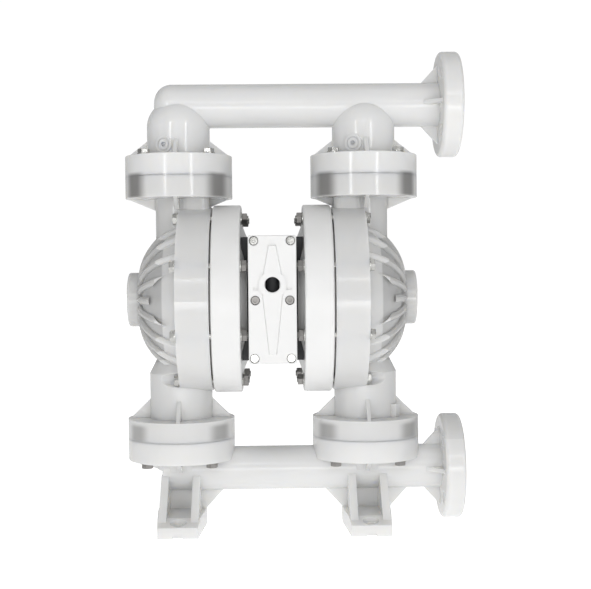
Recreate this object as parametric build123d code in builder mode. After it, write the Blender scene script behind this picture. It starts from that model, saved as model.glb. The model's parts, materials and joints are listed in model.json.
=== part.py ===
from build123d import *
import math
import os

# Air operated double diaphragm pump, DN50 ports, bolted plastic build. Millimetres.
# +X points to the port flanges, -Y to the air valve, +Z up. The origin lies on the ground,
# in the middle of the four foot bolts.

# ---------------------------------------------------------------- layout
stack_x = 146.0  # the two valve stacks stand at x = +/- stack_x
suction_z = 88.0  # axis of the suction pipe
lower_joint_z = 139.0  # suction manifold to liquid chamber
chamber_z = 357.0  # axis of the diaphragms and the shaft
upper_joint_z = 548.5  # liquid chamber to discharge manifold
discharge_z = 661.0  # axis of the discharge pipe
port_face_x = 295.0  # sealing face of both port flanges

# ---------------------------------------------------------------- ports and pipes
port_bore_d = 50.0
pipe_wall = 9.25
pipe_r = port_bore_d / 2 + pipe_wall
port_flange_d = 165.0  # DN50 PN16 drilling: 4 x 18 on a 125 circle
port_flange_thick = 31.0
port_pcd = 125.0
port_hole_d = 18.0
port_bolts = 4
port_edge_r = 6.0
discharge_end_x = 37.0  # closed pipe end, past the left stack's axis
discharge_end_r = 27.0
suction_end_x = 29.0
suction_end_r = 3.0
pipe_blind_wall = 12.0
port_gusset_run = 26.0  # along the pipe, behind the flange
port_gusset_drop = 20.0  # short of the flange's rim

# ---------------------------------------------------------------- valve flanges
valve_flange_d = 168.0
manifold_flange_thick = 33.5
upper_flange_thick = 33.5
lower_flange_thick = 31.0
valve_bolt_circle_d = 141.0
valve_bolts = 4
valve_flange_edge_r = 2.0
gusset_thick = 6.0
gusset_inset = 4.0  # from a flange's rim to its gussets' tips
leg_gusset_h = 24.0
upper_gusset_h = 18.0
lower_gusset_h = 30.0
suction_gusset_h = 18.0

# ---------------------------------------------------------------- ball valves
ball_d = 63.0
ball_lift = 15.0
ball_gap = 0.3  # between a resting ball and its seat
seat_bore_d = 40.0
seat_cone = 7.0  # a 45 degree cone, this deep
seat_thick = 14.0
seat_d = 88.0
seat_fit = 0.2  # radial, seat in its counterbore
seal_width = 4.4
seal_thick = 3.8
seal_gap = 0.2  # around a seal in its groove
cage_d = 80.0  # bore of the ball chamber
cage_wall = 9.25
cage_rib = 6.0
guide_gap = 0.7  # between the ball and the cage ribs
stop_gap = 0.3  # between a lifted ball and its stop
stop_bar = 12.0  # height of the stop's crossed bars
rib_start = 4.0  # the guide ribs start above the joint
leg_straight = 46.0  # straight part of a leg above its flange
leg_dome = 45.0
seat_port_d = 46.0  # passage under a seat
seat_neck_r = 38.0  # between the suction pipe and its seat flanges

# ---------------------------------------------------------------- liquid chambers
rim_in_x = 94.0  # liquid chamber rim, from here
rim_out_x = 144.0  # to here
rim_r = 144.5
dome_centre_x = 115.5
dome_centre_r = 28.0
rib_crest_r = 95.3  # radius of the dome's profile over the ribs
rib_height = 7.0
rib_thick = 11.0
rib_bevel = 3.5  # along both sides of a rib's crest
rib_step = 18.0  # degrees between the dome's ribs
dome_wall = 8.0
dome_tip_r = 24.0  # flat end of the hollow
eye_r = 41.0  # smooth round field at the front and the back of the dome
end_boss_r = 42.5
end_boss_x = 226.0
end_boss_edge = 3.0
end_boss_lap = 4.0  # the dome's skin runs inside the boss
neck_root = 48.2  # the outlet neck starts above the axis
neck_inset = 3.0  # its squared side stops short of the rim
upper_neck_r = 37.0
lower_neck_top_z = 241.0
lower_neck_cone = 24.0
neck_shoulder_r = 12.0
chamber_port_d = 56.0  # passage from the cage into the dome
drain_boss = (14.0, 20.0, 8.0)  # width, height and reach of the square side boss
drain_boss_angle = -32.0
side_boss_r = 13.5
side_boss_angle = -112.5
side_boss_z = 15.5  # above the flange, its centre
side_boss_reach = 2.5
boss_root = 6.0  # side bosses start inside the wall

# ---------------------------------------------------------------- air chambers
air_rim_in_x = 48.0
air_rim_out_x = 91.4
air_rim_r = 147.5
air_edge_r = 3.0
hub_face_x = 40.0
hub_face_r = 72.0  # spigot that sits in the centre block
air_floor_x = 52.0
air_floor_r = 71.0
air_cone_x = 56.0  # the air space widens from here
air_cone_r = 84.0
chamber_mouth_r = 105.0

# ---------------------------------------------------------------- diaphragm group
stroke = 17.0  # each way from the middle
diaphragm_thick = 4.0
diaphragm_clamp_r = 126.0
bead_r = (117.0, 122.0)
bead_height = 3.0
fold_depth = 14.0
fold_set = 3.0  # fold starts inside the mouth
piston_r = 68.0
piston_edge = 5.0
inner_piston_thick = 19.7
outer_piston_thick = 20.0
piston_hub_r = 24.0
piston_bulge = (16.0, 44.9)  # a point of its curve: rise and radius
shaft_r = 12.5
stud_r = 8.0
stud_out = 14.0  # into the outer piston
stud_gap = 0.3

# ---------------------------------------------------------------- centre section
block_size = (94.0, 170.0, 187.0)
spigot_gap = 0.5  # around an air chamber's spigot
block_chamfer = 14.0
air_gasket_thick = 2.0
bushing_r = 16.0
bushing_long = 20.0
seal_long = 6.0
run_fit = 0.05  # radial running clearance
pilot_rise = 45.0  # pilot axis above the shaft
pilot_r = 6.0
pilot_sleeve_r = 11.0
pilot_push = 6.0  # spool travel past the end of the shaft's stroke
pilot_waist = 24.0
pilot_waist_r = 3.6
air_way_r = 7.0
air_way_x = 12.0  # the ways turn outward from here
air_way_y = 40.0
exhaust_way_r = 12.0
exhaust_drop = 60.0

# ---------------------------------------------------------------- air valve
valve_width = 71.0
valve_height = 189.0
valve_depth = 58.0
valve_z = 359.0
valve_edge_r = 3.0
valve_front_r = 1.8
valve_port_deep = 23.2
valve_gasket_thick = 2.0
inlet_z = 381.0
inlet_boss_r = 20.0
inlet_boss_out = 5.0
inlet_r = 12.1
inlet_deep = 26.0
spool_bore_r = 16.0
spool_set = 24.94  # its axis, in front of the valve's back
spool_travel = 14.0
spool_land = 24.0
spool_waist_r = 10.0
spool_bore_deep = 168.0
cap_r = 20.0
cap_thick = 9.0
cap_key = (12.0, 4.5)  # across flats and depth
ring_thick = 2.0
ring_wide = 3.0
ring_split = 6.0
spine_w = (34.0, 12.0)  # at the boss and at its far end
spine_out = 4.0
spine_end = 14.0  # short of the body's ends
spine_taper = 20.0
vent_slot = (8.0, 4.5, 3.0)  # width, height and depth
vent_x = 24.5
vent_z = 375.0
valve_bolt_x = 27.0
valve_bolt_dz = 86.5
mid_bolt_x = 25.4
mid_bolt_z = 358.0

# ---------------------------------------------------------------- exhaust
plate_thick = 14.0
plate_height = 120.0
plate_z = 320.0
plate_bolt_x = 27.0
plate_bolt_dz = 50.0
muffler_r = 34.0
muffler_long = 84.0
muffler_neck_r = 16.0
muffler_neck = 10.0
muffler_slots = 8
muffler_slot = 4.0
muffler_fins = 6
muffler_fin_h = 3.0
muffler_hex_af = 40.0
muffler_end_r = 6.3
muffler_bore_r = 12.0
muffler_floor = 16.8

# ---------------------------------------------------------------- feet
foot_reach = 112.0
foot_end_w = 61.0
foot_mid_w = 76.0
foot_edge_h = 17.0
foot_crest_h = 25.0
foot_web = 12.0
foot_rib = 12.0
foot_rib_x = 24.5
foot_rib_top = 82.0
foot_rib_set = 14.0  # the ribs stop this far from the base's ends
foot_bevel = 34.0  # length of the base's sloped ends
foot_brace = 66.0
foot_bolt_y = 95.0
foot_bolt_r = 7.0
foot_spot_r = 12.5
foot_notch = (15.0, 6.0, 8.0)  # width, height and depth, under each end
foot_notch_r = 3.6

# ---------------------------------------------------------------- fasteners
bolt_r = 5.0
bolt_hole_gap = 0.5
thread_gap = 0.05  # around a shank in its nut or insert
bolt_head_af = 16.0
bolt_head_h = 6.4
nut_h = 8.0
washer_r = 10.0
washer_thick = 2.0
bolt_past_nut = 1.5
rim_bolt_r = 134.5
rim_bolts = 8
rim_bolt_start = 22.5
pocket_r = 11.0
pocket_long = 36.0
insert_af = 17.0
insert_long = 22.0
insert_set = 1.5  # below the joint face
cap_screw_r = 4.0
cap_head_r = 6.5
cap_head_h = 8.0
cap_socket = (6.0, 4.0)  # across flats and depth
cap_sink = 3.5  # heads below the valve's face
cap_grip = 24.0  # thread length in the block
head_gap = 0.5
hub_bolt_r = 62.0
hub_bolts = 4
hub_head_h = 5.0

# ---------------------------------------------------------------- derived places
liquid_gap_x = (air_rim_out_x + rim_in_x) / 2  # the diaphragm's middle plane
flange_r = valve_flange_d / 2
leg_r = cage_d / 2 + cage_wall
hole_r = bolt_r + bolt_hole_gap
tapped_r = bolt_r + thread_gap
seat_pocket_r = seat_d / 2 + seat_fit
seal_in_r = seat_pocket_r + 2.0
ball_r = ball_d / 2
seat_touch = ball_r * math.cos(math.radians(45))
ball_rise = seat_touch * 2 - seat_bore_d / 2 - seat_cone + ball_gap * math.sqrt(2)
ball_stop = ball_rise + ball_r + ball_lift + stop_gap
skin_r = rib_crest_r - rib_height
cavity_r = skin_r - dome_wall
block_x, block_y, block_z = (size / 2 for size in block_size)
core_x = hub_face_x - air_gasket_thick  # the block's faces inside its recesses
valve_back_y = -block_y - valve_gasket_thick
valve_front_y = valve_back_y - valve_depth
spool_y = valve_back_y - spool_set
inner_face_x = liquid_gap_x - diaphragm_thick / 2 - inner_piston_thick
shaft_half = liquid_gap_x + diaphragm_thick / 2 + stud_out
pilot_half = inner_face_x - stroke + pilot_push
sides = {"left": -1, "right": 1}
cross_angles = [0, 90, 180, 270]
diagonal = 45.0  # bolt patterns stand between the axes
hex_sides = 6


def upright(x, angle=0.0):
    """Vertical plane through a stack's axis: local x runs outward at the angle, local y is up."""
    a = math.radians(angle)
    return Plane(origin=(x, 0, 0), x_dir=(math.cos(a), math.sin(a), 0), z_dir=(math.sin(a), -math.cos(a), 0))


def radial(x, z, angle):
    """Plane square to a ray that leaves a stack's axis at a height, local y up."""
    a = math.radians(angle)
    return Plane(origin=(x, 0, z), x_dir=(-math.sin(a), math.cos(a), 0), z_dir=(math.cos(a), math.sin(a), 0))


def meridian(angle, z=chamber_z):
    """Half plane of an axis along X: local x along the axis, local y outward at the angle from +Z."""
    a = math.radians(angle)
    out_y, out_z = -math.sin(a), math.cos(a)
    return Plane(origin=(0, 0, z), x_dir=(1, 0, 0), z_dir=(0, -out_z, out_y))


def across(x, z=chamber_z):
    """Plane square to an axis along X, centred on it, facing +X."""
    return Plane(origin=(x, 0, z), x_dir=(0, 1, 0), z_dir=(1, 0, 0))


def facing(y, z=0.0):
    """Plane that faces the front, -Y, with local y up."""
    return Plane(origin=(0, y, z), x_dir=(1, 0, 0), z_dir=(0, -1, 0))


def level(x, z):
    """Horizontal plane on a stack's axis."""
    return Plane(origin=(x, 0, z))


def stack_axis(x):
    return Axis((x, 0, 0), (0, 0, 1))


def pipe_axis(z):
    return Axis((0, 0, z), (1, 0, 0))


diaphragm_axis = pipe_axis(chamber_z)


def finish(part, label):
    """Label a finished piece and write it."""
    part.label = label
    export_step(part, f"parts/{label}.step")


def turned(part):
    """The same moulding on the other side: a half turn about the vertical axis."""
    return part.rotate(Axis.Z, 180)


def pair(part, name):
    """Write a right-hand piece and its twin on the left."""
    twin = turned(part)
    finish(part, f"{name}_right")
    finish(twin, f"{name}_left")


# ================================================================ shared features
def pipe_and_flange(z, end_x, end_r):
    """Closed pipe along X with a port flange, drilled, and its four gussets."""
    back_x, end = port_face_x - port_flange_thick, -stack_x - end_x
    with BuildSketch(Plane.XZ) as profile:
        with BuildLine():
            Polyline(
                (end, z),
                (end, z + pipe_r),
                (back_x, z + pipe_r),
                (back_x, z + port_flange_d / 2),
                (port_face_x, z + port_flange_d / 2),
                (port_face_x, z),
                close=True,
            )
        make_face()
        fillet(vertices().sort_by_distance((end, z + pipe_r))[0], end_r)
        rim = vertices().group_by(Axis.Y)[-1]
        fillet(rim, port_edge_r)
    revolve(profile.sketch, axis=pipe_axis(z))
    with BuildSketch(*[meridian(angle, z) for angle in cross_angles]) as webs:
        with BuildLine():
            Polyline(
                (back_x - port_gusset_run, pipe_r - 1),
                (back_x - port_gusset_run, pipe_r),
                (back_x, port_flange_d / 2 - port_gusset_drop),
                (back_x + 1, port_flange_d / 2 - port_gusset_drop),
                (back_x + 1, pipe_r - 1),
                close=True,
            )
        make_face()
    extrude(webs.sketch, amount=gusset_thick / 2, both=True)
    with BuildSketch(across(back_x, z)) as holes:
        with PolarLocations(port_pcd / 2, port_bolts, start_angle=diagonal):
            Circle(port_hole_d / 2)
    extrude(holes.sketch, amount=port_flange_thick, mode=Mode.SUBTRACT)


def pipe_bore(z, end_x):
    """The flow bore, from the port face to a blind end under the far stack."""
    start = -stack_x - end_x + pipe_blind_wall
    with BuildSketch(across(start, z)) as bore:
        Circle(port_bore_d / 2)
    extrude(bore.sketch, amount=port_face_x - start, mode=Mode.SUBTRACT)


def flange_gussets(x, z, inner_r, height, angles=cross_angles):
    """Triangular webs between a neck and its bolting flange; a negative height hangs them below."""
    planes = [upright(x, angle) for angle in angles]
    with BuildSketch(*planes) as webs:
        with BuildLine():
            Polyline(
                (inner_r - 2, z),
                (flange_r - gusset_inset, z),
                (inner_r, z + height),
                (inner_r - 2, z + height),
                close=True,
            )
        make_face()
    extrude(webs.sketch, amount=gusset_thick / 2, both=True)


def flange_bolt_holes(x, z, depth):
    """Clearance holes of one valve flange's bolts."""
    with BuildSketch(level(x, z)) as holes:
        with PolarLocations(valve_bolt_circle_d / 2, valve_bolts, start_angle=diagonal):
            Circle(hole_r)
    extrude(holes.sketch, amount=depth, mode=Mode.SUBTRACT)


def cage_ribs(x, joint_z):
    """Four guide ribs that carry the crossed stop bars above a ball, cleared for the ball's travel."""
    stop_z = joint_z + ball_stop
    with BuildSketch(level(x, joint_z + rib_start)) as bars:
        Rectangle(cage_d + 2, cage_rib, rotation=diagonal)
        Rectangle(cage_d + 2, cage_rib, rotation=-diagonal)
    extrude(bars.sketch, amount=ball_stop - rib_start + stop_bar)
    with BuildSketch(level(x, joint_z)) as path:
        Circle(ball_r + guide_gap)
    extrude(path.sketch, amount=stop_z - joint_z, mode=Mode.SUBTRACT)


def seat_pocket(x, joint_z):
    """Counterbore for the valve seat, the seal groove around it and the passage below."""
    with BuildSketch(level(x, joint_z)) as pocket:
        Circle(seat_pocket_r)
    extrude(pocket.sketch, amount=-seat_thick, mode=Mode.SUBTRACT)
    with BuildSketch(level(x, joint_z)) as groove:
        Circle(seal_in_r + seal_width + 2 * seal_gap)
        Circle(seal_in_r, mode=Mode.SUBTRACT)
    extrude(groove.sketch, amount=-(seal_thick + seal_gap), mode=Mode.SUBTRACT)


# ================================================================ manifolds
def discharge_manifold():
    """Top manifold: pipe, port flange and two domed legs that cage the discharge balls."""
    flange_top = upper_joint_z + manifold_flange_thick
    dome_z = flange_top + leg_straight
    with BuildPart() as discharge_manifold:
        pipe_and_flange(discharge_z, discharge_end_x, discharge_end_r)
        for x in (-stack_x, stack_x):
            with BuildSketch(upright(x)):
                with BuildLine():
                    foot = Polyline(
                        (0, dome_z + leg_dome),
                        (0, upper_joint_z),
                        (flange_r, upper_joint_z),
                        (flange_r, flange_top),
                        (leg_r, flange_top),
                        (leg_r, dome_z),
                    )
                    EllipticalCenterArc((0, dome_z), leg_r, leg_dome, start_angle=0, arc_size=90)
                make_face()
                rim = vertices().group_by(Axis.X)[-1]
                fillet(rim.sort_by(Axis.Y)[-1], valve_flange_edge_r)
            revolve(axis=stack_axis(x))
            flange_gussets(x, flange_top, leg_r, leg_gusset_h)
            with BuildSketch(radial(x, flange_top + side_boss_z, side_boss_angle).offset(leg_r - boss_root)):
                Circle(side_boss_r)
            extrude(amount=boss_root + side_boss_reach)
        for x in (-stack_x, stack_x):
            with BuildSketch(upright(x)):
                with BuildLine():
                    Polyline(
                        (0, dome_z + leg_dome - cage_wall),
                        (0, upper_joint_z),
                        (cage_d / 2, upper_joint_z),
                        (cage_d / 2, dome_z),
                    )
                    EllipticalCenterArc(
                        (0, dome_z), cage_d / 2, leg_dome - cage_wall, start_angle=0, arc_size=90
                    )
                make_face()
            revolve(axis=stack_axis(x), mode=Mode.SUBTRACT)
            cage_ribs(x, upper_joint_z)
            flange_bolt_holes(x, upper_joint_z, manifold_flange_thick)
        pipe_bore(discharge_z, discharge_end_x)
    finish(discharge_manifold.part, "discharge_manifold")


def foot(x, outer_brace):
    """One foot under the suction pipe: base, two end-to-end ribs and the braced middle web."""
    half_w, mid_w = foot_end_w / 2, foot_mid_w / 2
    with BuildSketch(level(x, 0)) as base:
        with BuildLine():
            Polyline(
                (-half_w, -foot_reach),
                (half_w, -foot_reach),
                (mid_w, -foot_web),
                (mid_w, foot_web),
                (half_w, foot_reach),
                (-half_w, foot_reach),
                (-mid_w, foot_web),
                (-mid_w, -foot_web),
                close=True,
            )
        make_face()
    extrude(base.sketch, amount=foot_crest_h)
    with BuildSketch(Plane.YZ.offset(x - foot_mid_w)) as bevels:
        for side in (-1, 1):
            with BuildLine():
                Polyline(
                    (side * (foot_reach + 1), foot_edge_h),
                    (side * (foot_reach + 1), foot_crest_h + 1),
                    (side * (foot_reach - foot_bevel), foot_crest_h + 1),
                    (side * (foot_reach - foot_bevel), foot_crest_h),
                    (side * foot_reach, foot_edge_h),
                    close=True,
                )
            make_face()
    extrude(bevels.sketch, amount=2 * foot_mid_w, mode=Mode.SUBTRACT)
    with BuildSketch(*[Plane.YZ.offset(x + rib_x) for rib_x in (-foot_rib_x, foot_rib_x)]) as ribs:
        with BuildLine():
            Polyline(
                (-foot_reach + foot_rib_set, foot_edge_h),
                (-pipe_r + 1, foot_rib_top),
                (pipe_r - 1, foot_rib_top),
                (foot_reach - foot_rib_set, foot_edge_h),
                close=True,
            )
        make_face()
    extrude(ribs.sketch, amount=foot_rib / 2, both=True)
    way = -1 if x > 0 else 1
    pipe_under = suction_z - pipe_r + 2
    outer = foot_brace if outer_brace else suction_end_x
    with BuildSketch(upright(x)) as web:
        with BuildLine():
            Polyline(
                (way * foot_brace, pipe_under),
                (way * mid_w, foot_crest_h),
                (-way * mid_w if outer_brace else -way * half_w, foot_crest_h),
                (-way * outer, pipe_under),
                (0, suction_z),
                close=True,
            )
        make_face()
    extrude(web.sketch, amount=foot_web / 2, both=True)


def foot_bolt_holes(x):
    """Foot bolt holes with their spot faces, and the notches under the base's ends."""
    width, height, depth = foot_notch
    with BuildSketch(level(x, 0)) as holes:
        with GridLocations(1, 2 * foot_bolt_y, 1, 2):
            Circle(foot_bolt_r)
    extrude(holes.sketch, amount=foot_crest_h, mode=Mode.SUBTRACT)
    with BuildSketch(level(x, foot_edge_h)) as spots:
        with GridLocations(1, 2 * foot_bolt_y, 1, 2):
            Circle(foot_spot_r)
    extrude(spots.sketch, amount=foot_crest_h, mode=Mode.SUBTRACT)
    with BuildSketch(facing(-foot_reach), facing(foot_reach - depth)) as notches:
        with Locations((x, 0)):
            RectangleRounded(width, 2 * height, foot_notch_r)
    extrude(notches.sketch, amount=-depth, mode=Mode.SUBTRACT)


def suction_manifold():
    """Bottom manifold: pipe, port flange, two seat flanges and the feet."""
    flange_bottom = lower_joint_z - manifold_flange_thick
    with BuildPart() as suction_manifold:
        pipe_and_flange(suction_z, suction_end_x, suction_end_r)
        for x in (-stack_x, stack_x):
            with BuildSketch(level(x, flange_bottom)):
                Circle(flange_r)
            extrude(amount=manifold_flange_thick)
            with BuildSketch(level(x, suction_z)):
                Circle(seat_neck_r)
            extrude(amount=flange_bottom - suction_z + 1)
            flange_gussets(x, flange_bottom, seat_neck_r, -suction_gusset_h)
            foot(x, outer_brace=x > 0)
        for x in (-stack_x, stack_x):
            foot_bolt_holes(x)
            seat_pocket(x, lower_joint_z)
            with BuildSketch(level(x, suction_z)):
                Circle(seat_port_d / 2)
            extrude(amount=lower_joint_z - suction_z, mode=Mode.SUBTRACT)
            flange_bolt_holes(x, flange_bottom, manifold_flange_thick)
        pipe_bore(suction_z, suction_end_x)
    finish(suction_manifold.part, "suction_manifold")


# ================================================================ liquid chambers
def dome_point(radius, angle=45.0):
    """A point of the dome's arc, as x and distance from the diaphragm axis."""
    a = math.radians(angle)
    return (dome_centre_x + radius * math.cos(a), dome_centre_r + radius * math.sin(a))


def dome_ribs():
    """Meridian ribs of one dome, parted by the smooth round fields at the front and the back."""
    root_r = skin_r - dome_wall / 2
    rim_angle = math.degrees(math.acos((rim_out_x - 1 - dome_centre_x) / rib_crest_r))
    boss_angle = math.degrees(math.asin((end_boss_r - 1 - dome_centre_r) / rib_crest_r))
    crest_rim, crest_boss = dome_point(rib_crest_r, rim_angle), dome_point(rib_crest_r, boss_angle)
    root_rim, root_boss = dome_point(root_r, rim_angle), dome_point(root_r, boss_angle)
    with BuildPart() as ribs:
        with BuildSketch(*[meridian(k * rib_step) for k in range(round(360 / rib_step))]):
            with BuildLine():
                ThreePointArc(crest_rim, dome_point(rib_crest_r), crest_boss)
                Line(crest_boss, root_boss)
                ThreePointArc(root_boss, dome_point(root_r), root_rim)
                Line(root_rim, crest_rim)
            make_face()
        extrude(amount=rib_thick / 2, both=True)
        crests = [arc for arc in edges().filter_by(GeomType.CIRCLE) if arc.radius > skin_r]
        chamfer(crests, rib_bevel)
        with BuildSketch(facing(-rim_r, chamber_z)):
            with Locations((stack_x, 0)):
                Circle(eye_r)
        extrude(amount=-2 * rim_r, mode=Mode.SUBTRACT)
    return ribs.part


def dome_profile(radius, start_x, tip_r):
    """Face between the diaphragm axis and the dome's arc of one radius, flat across its tip."""
    start_r = dome_centre_r + math.sqrt(radius**2 - (start_x - dome_centre_x) ** 2)
    tip_x = dome_centre_x + math.sqrt(radius**2 - (tip_r - dome_centre_r) ** 2)
    with BuildSketch(meridian(0)) as face:
        with BuildLine():
            ThreePointArc((start_x, start_r), dome_point(radius), (tip_x, tip_r))
            Polyline((tip_x, tip_r), (tip_x, 0), (start_x, 0), (start_x, start_r))
        make_face()
    return face.sketch


def liquid_chamber():
    """Rim, ribbed dome, end boss, upper outlet neck and lower ball-cage neck with its flanges."""
    upper_bottom = upper_joint_z - upper_flange_thick
    lower_top = lower_joint_z + lower_flange_thick
    ribs = dome_ribs()
    skin = dome_profile(skin_r, rim_out_x - 1, end_boss_r - end_boss_lap)
    cavity = dome_profile(cavity_r, rim_in_x, dome_tip_r)
    with BuildPart() as liquid_chamber:
        revolve(skin, axis=diaphragm_axis)
        add(ribs)
        with BuildSketch(across(rim_in_x)):
            Circle(rim_r)
        extrude(amount=rim_out_x - rim_in_x)
        with BuildSketch(across(rim_out_x)):
            Circle(end_boss_r)
        extrude(amount=end_boss_x - rim_out_x)
        end_edge = edges().filter_by(GeomType.CIRCLE).sort_by(Axis.X)[-1]
        fillet(end_edge, end_boss_edge)
        # outlet neck, squared towards the rim
        with BuildSketch(level(stack_x, chamber_z + neck_root)):
            Circle(upper_neck_r)
            with Locations(((rim_in_x + neck_inset - stack_x) / 2, 0)):
                RectangleRounded(stack_x - rim_in_x - neck_inset, 2 * upper_neck_r, neck_shoulder_r)
        extrude(amount=upper_bottom - chamber_z - neck_root)
        with BuildSketch(level(stack_x, upper_bottom)):
            Circle(flange_r)
        extrude(amount=upper_flange_thick)
        flange_gussets(stack_x, upper_bottom, upper_neck_r, -upper_gusset_h)
        # inlet neck with its cone into the dome
        with BuildSketch(upright(stack_x)):
            with BuildLine():
                Polyline(
                    (0, lower_joint_z),
                    (flange_r, lower_joint_z),
                    (flange_r, lower_top),
                    (leg_r, lower_top),
                    (leg_r, lower_neck_top_z),
                    (upper_neck_r, lower_neck_top_z + lower_neck_cone),
                    (0, lower_neck_top_z + lower_neck_cone),
                    close=True,
                )
            make_face()
        revolve(axis=stack_axis(stack_x))
        flange_gussets(stack_x, lower_top, leg_r, lower_gusset_h)
        width, height, reach = drain_boss
        with BuildSketch(radial(stack_x, lower_top + height / 2, drain_boss_angle).offset(leg_r - boss_root)):
            Rectangle(width, height)
        extrude(amount=boss_root + reach)
        # hollow inside
        revolve(cavity, axis=diaphragm_axis, mode=Mode.SUBTRACT)
        with BuildSketch(level(stack_x, chamber_z)):
            Circle(seat_port_d / 2)
        extrude(amount=upper_joint_z - chamber_z, mode=Mode.SUBTRACT)
        seat_pocket(stack_x, upper_joint_z)
        cone_z = lower_neck_top_z - cage_wall
        with BuildSketch(upright(stack_x)):
            with BuildLine():
                Polyline(
                    (0, lower_joint_z),
                    (cage_d / 2, lower_joint_z),
                    (cage_d / 2, cone_z),
                    (chamber_port_d / 2, cone_z + cage_d / 2 - chamber_port_d / 2),
                    (chamber_port_d / 2, chamber_z - cavity_r),
                    (0, chamber_z - cavity_r),
                    close=True,
                )
            make_face()
        revolve(axis=stack_axis(stack_x), mode=Mode.SUBTRACT)
        cage_ribs(stack_x, lower_joint_z)
        # bead groove, rim bolts and the clearance for their heads
        with BuildSketch(across(rim_in_x)):
            Circle(bead_r[1] + seal_gap)
            Circle(bead_r[0] - seal_gap, mode=Mode.SUBTRACT)
        extrude(amount=bead_height, mode=Mode.SUBTRACT)
        with BuildSketch(across(rim_in_x)):
            with PolarLocations(rim_bolt_r, rim_bolts, start_angle=rim_bolt_start):
                Circle(hole_r)
        extrude(amount=rim_out_x - rim_in_x, mode=Mode.SUBTRACT)
        with BuildSketch(across(rim_out_x)):
            with PolarLocations(rim_bolt_r, rim_bolts, start_angle=rim_bolt_start):
                Circle(pocket_r)
        extrude(amount=pocket_long, mode=Mode.SUBTRACT)
        # threaded inserts moulded into both flanges, and the bolts' way to them
        for joint_z, way in ((upper_joint_z, -1), (lower_joint_z, 1)):
            with BuildSketch(level(stack_x, joint_z + way * insert_set)):
                with PolarLocations(valve_bolt_circle_d / 2, valve_bolts, start_angle=diagonal):
                    RegularPolygon(insert_af / 2, hex_sides, major_radius=False)
            extrude(amount=way * insert_long, mode=Mode.SUBTRACT)
            with BuildSketch(level(stack_x, joint_z)):
                with PolarLocations(valve_bolt_circle_d / 2, valve_bolts, start_angle=diagonal):
                    Circle(hole_r)
            extrude(amount=way * insert_set, mode=Mode.SUBTRACT)
    pair(liquid_chamber.part, "liquid_chamber")


# ================================================================ air chambers
def air_chamber():
    """White shell behind each diaphragm: bolting rim, cone to the hub, and the air space."""
    with BuildPart() as air_chamber:
        with BuildSketch(meridian(0)) as profile:
            with BuildLine():
                Polyline(
                    (hub_face_x, 0),
                    (hub_face_x, hub_face_r),
                    (air_rim_in_x, hub_face_r),
                    (air_rim_in_x, air_rim_r),
                    (air_rim_out_x, air_rim_r),
                    (air_rim_out_x, chamber_mouth_r),
                    (air_cone_x, air_cone_r),
                    (air_floor_x, air_floor_r),
                    (air_floor_x, 0),
                    close=True,
                )
            make_face()
            rim = vertices().group_by(Axis.Y)[-1]
            fillet(rim, air_edge_r)
            fillet(vertices().sort_by_distance((air_cone_x, air_cone_r))[0], air_edge_r)
        revolve(axis=diaphragm_axis)
        with BuildSketch(across(air_rim_out_x)):
            Circle(bead_r[1] + seal_gap)
            Circle(bead_r[0] - seal_gap, mode=Mode.SUBTRACT)
        extrude(amount=-bead_height, mode=Mode.SUBTRACT)
        with BuildSketch(across(hub_face_x)):
            with PolarLocations(rim_bolt_r, rim_bolts, start_angle=rim_bolt_start):
                Circle(hole_r)
            with PolarLocations(hub_bolt_r, hub_bolts, start_angle=diagonal):
                Circle(cap_screw_r + bolt_hole_gap)
            Circle(shaft_r + 1)
            with Locations((0, pilot_rise)):
                Circle(pilot_r + bolt_hole_gap)
            with Locations((air_way_y, -pilot_rise)):
                Circle(air_way_r)
        extrude(amount=air_rim_out_x - hub_face_x, mode=Mode.SUBTRACT)
        with BuildSketch(across(air_floor_x)):
            with PolarLocations(hub_bolt_r, hub_bolts, start_angle=diagonal):
                Circle(cap_head_r + head_gap)
        extrude(amount=-hub_head_h - head_gap, mode=Mode.SUBTRACT)
    pair(air_chamber.part, "air_chamber")


def air_chamber_gasket():
    """Flat gasket between an air chamber's hub and the centre block."""
    with BuildPart() as gasket:
        with BuildSketch(across(core_x)):
            Circle(hub_face_r)
            with PolarLocations(hub_bolt_r, hub_bolts, start_angle=diagonal):
                Circle(cap_screw_r + bolt_hole_gap, mode=Mode.SUBTRACT)
            Circle(bushing_r, mode=Mode.SUBTRACT)
            with Locations((0, pilot_rise)):
                Circle(pilot_sleeve_r, mode=Mode.SUBTRACT)
            with Locations((air_way_y, -pilot_rise)):
                Circle(air_way_r, mode=Mode.SUBTRACT)
        extrude(amount=air_gasket_thick)
    pair(gasket.part, "air_chamber_gasket")


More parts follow.
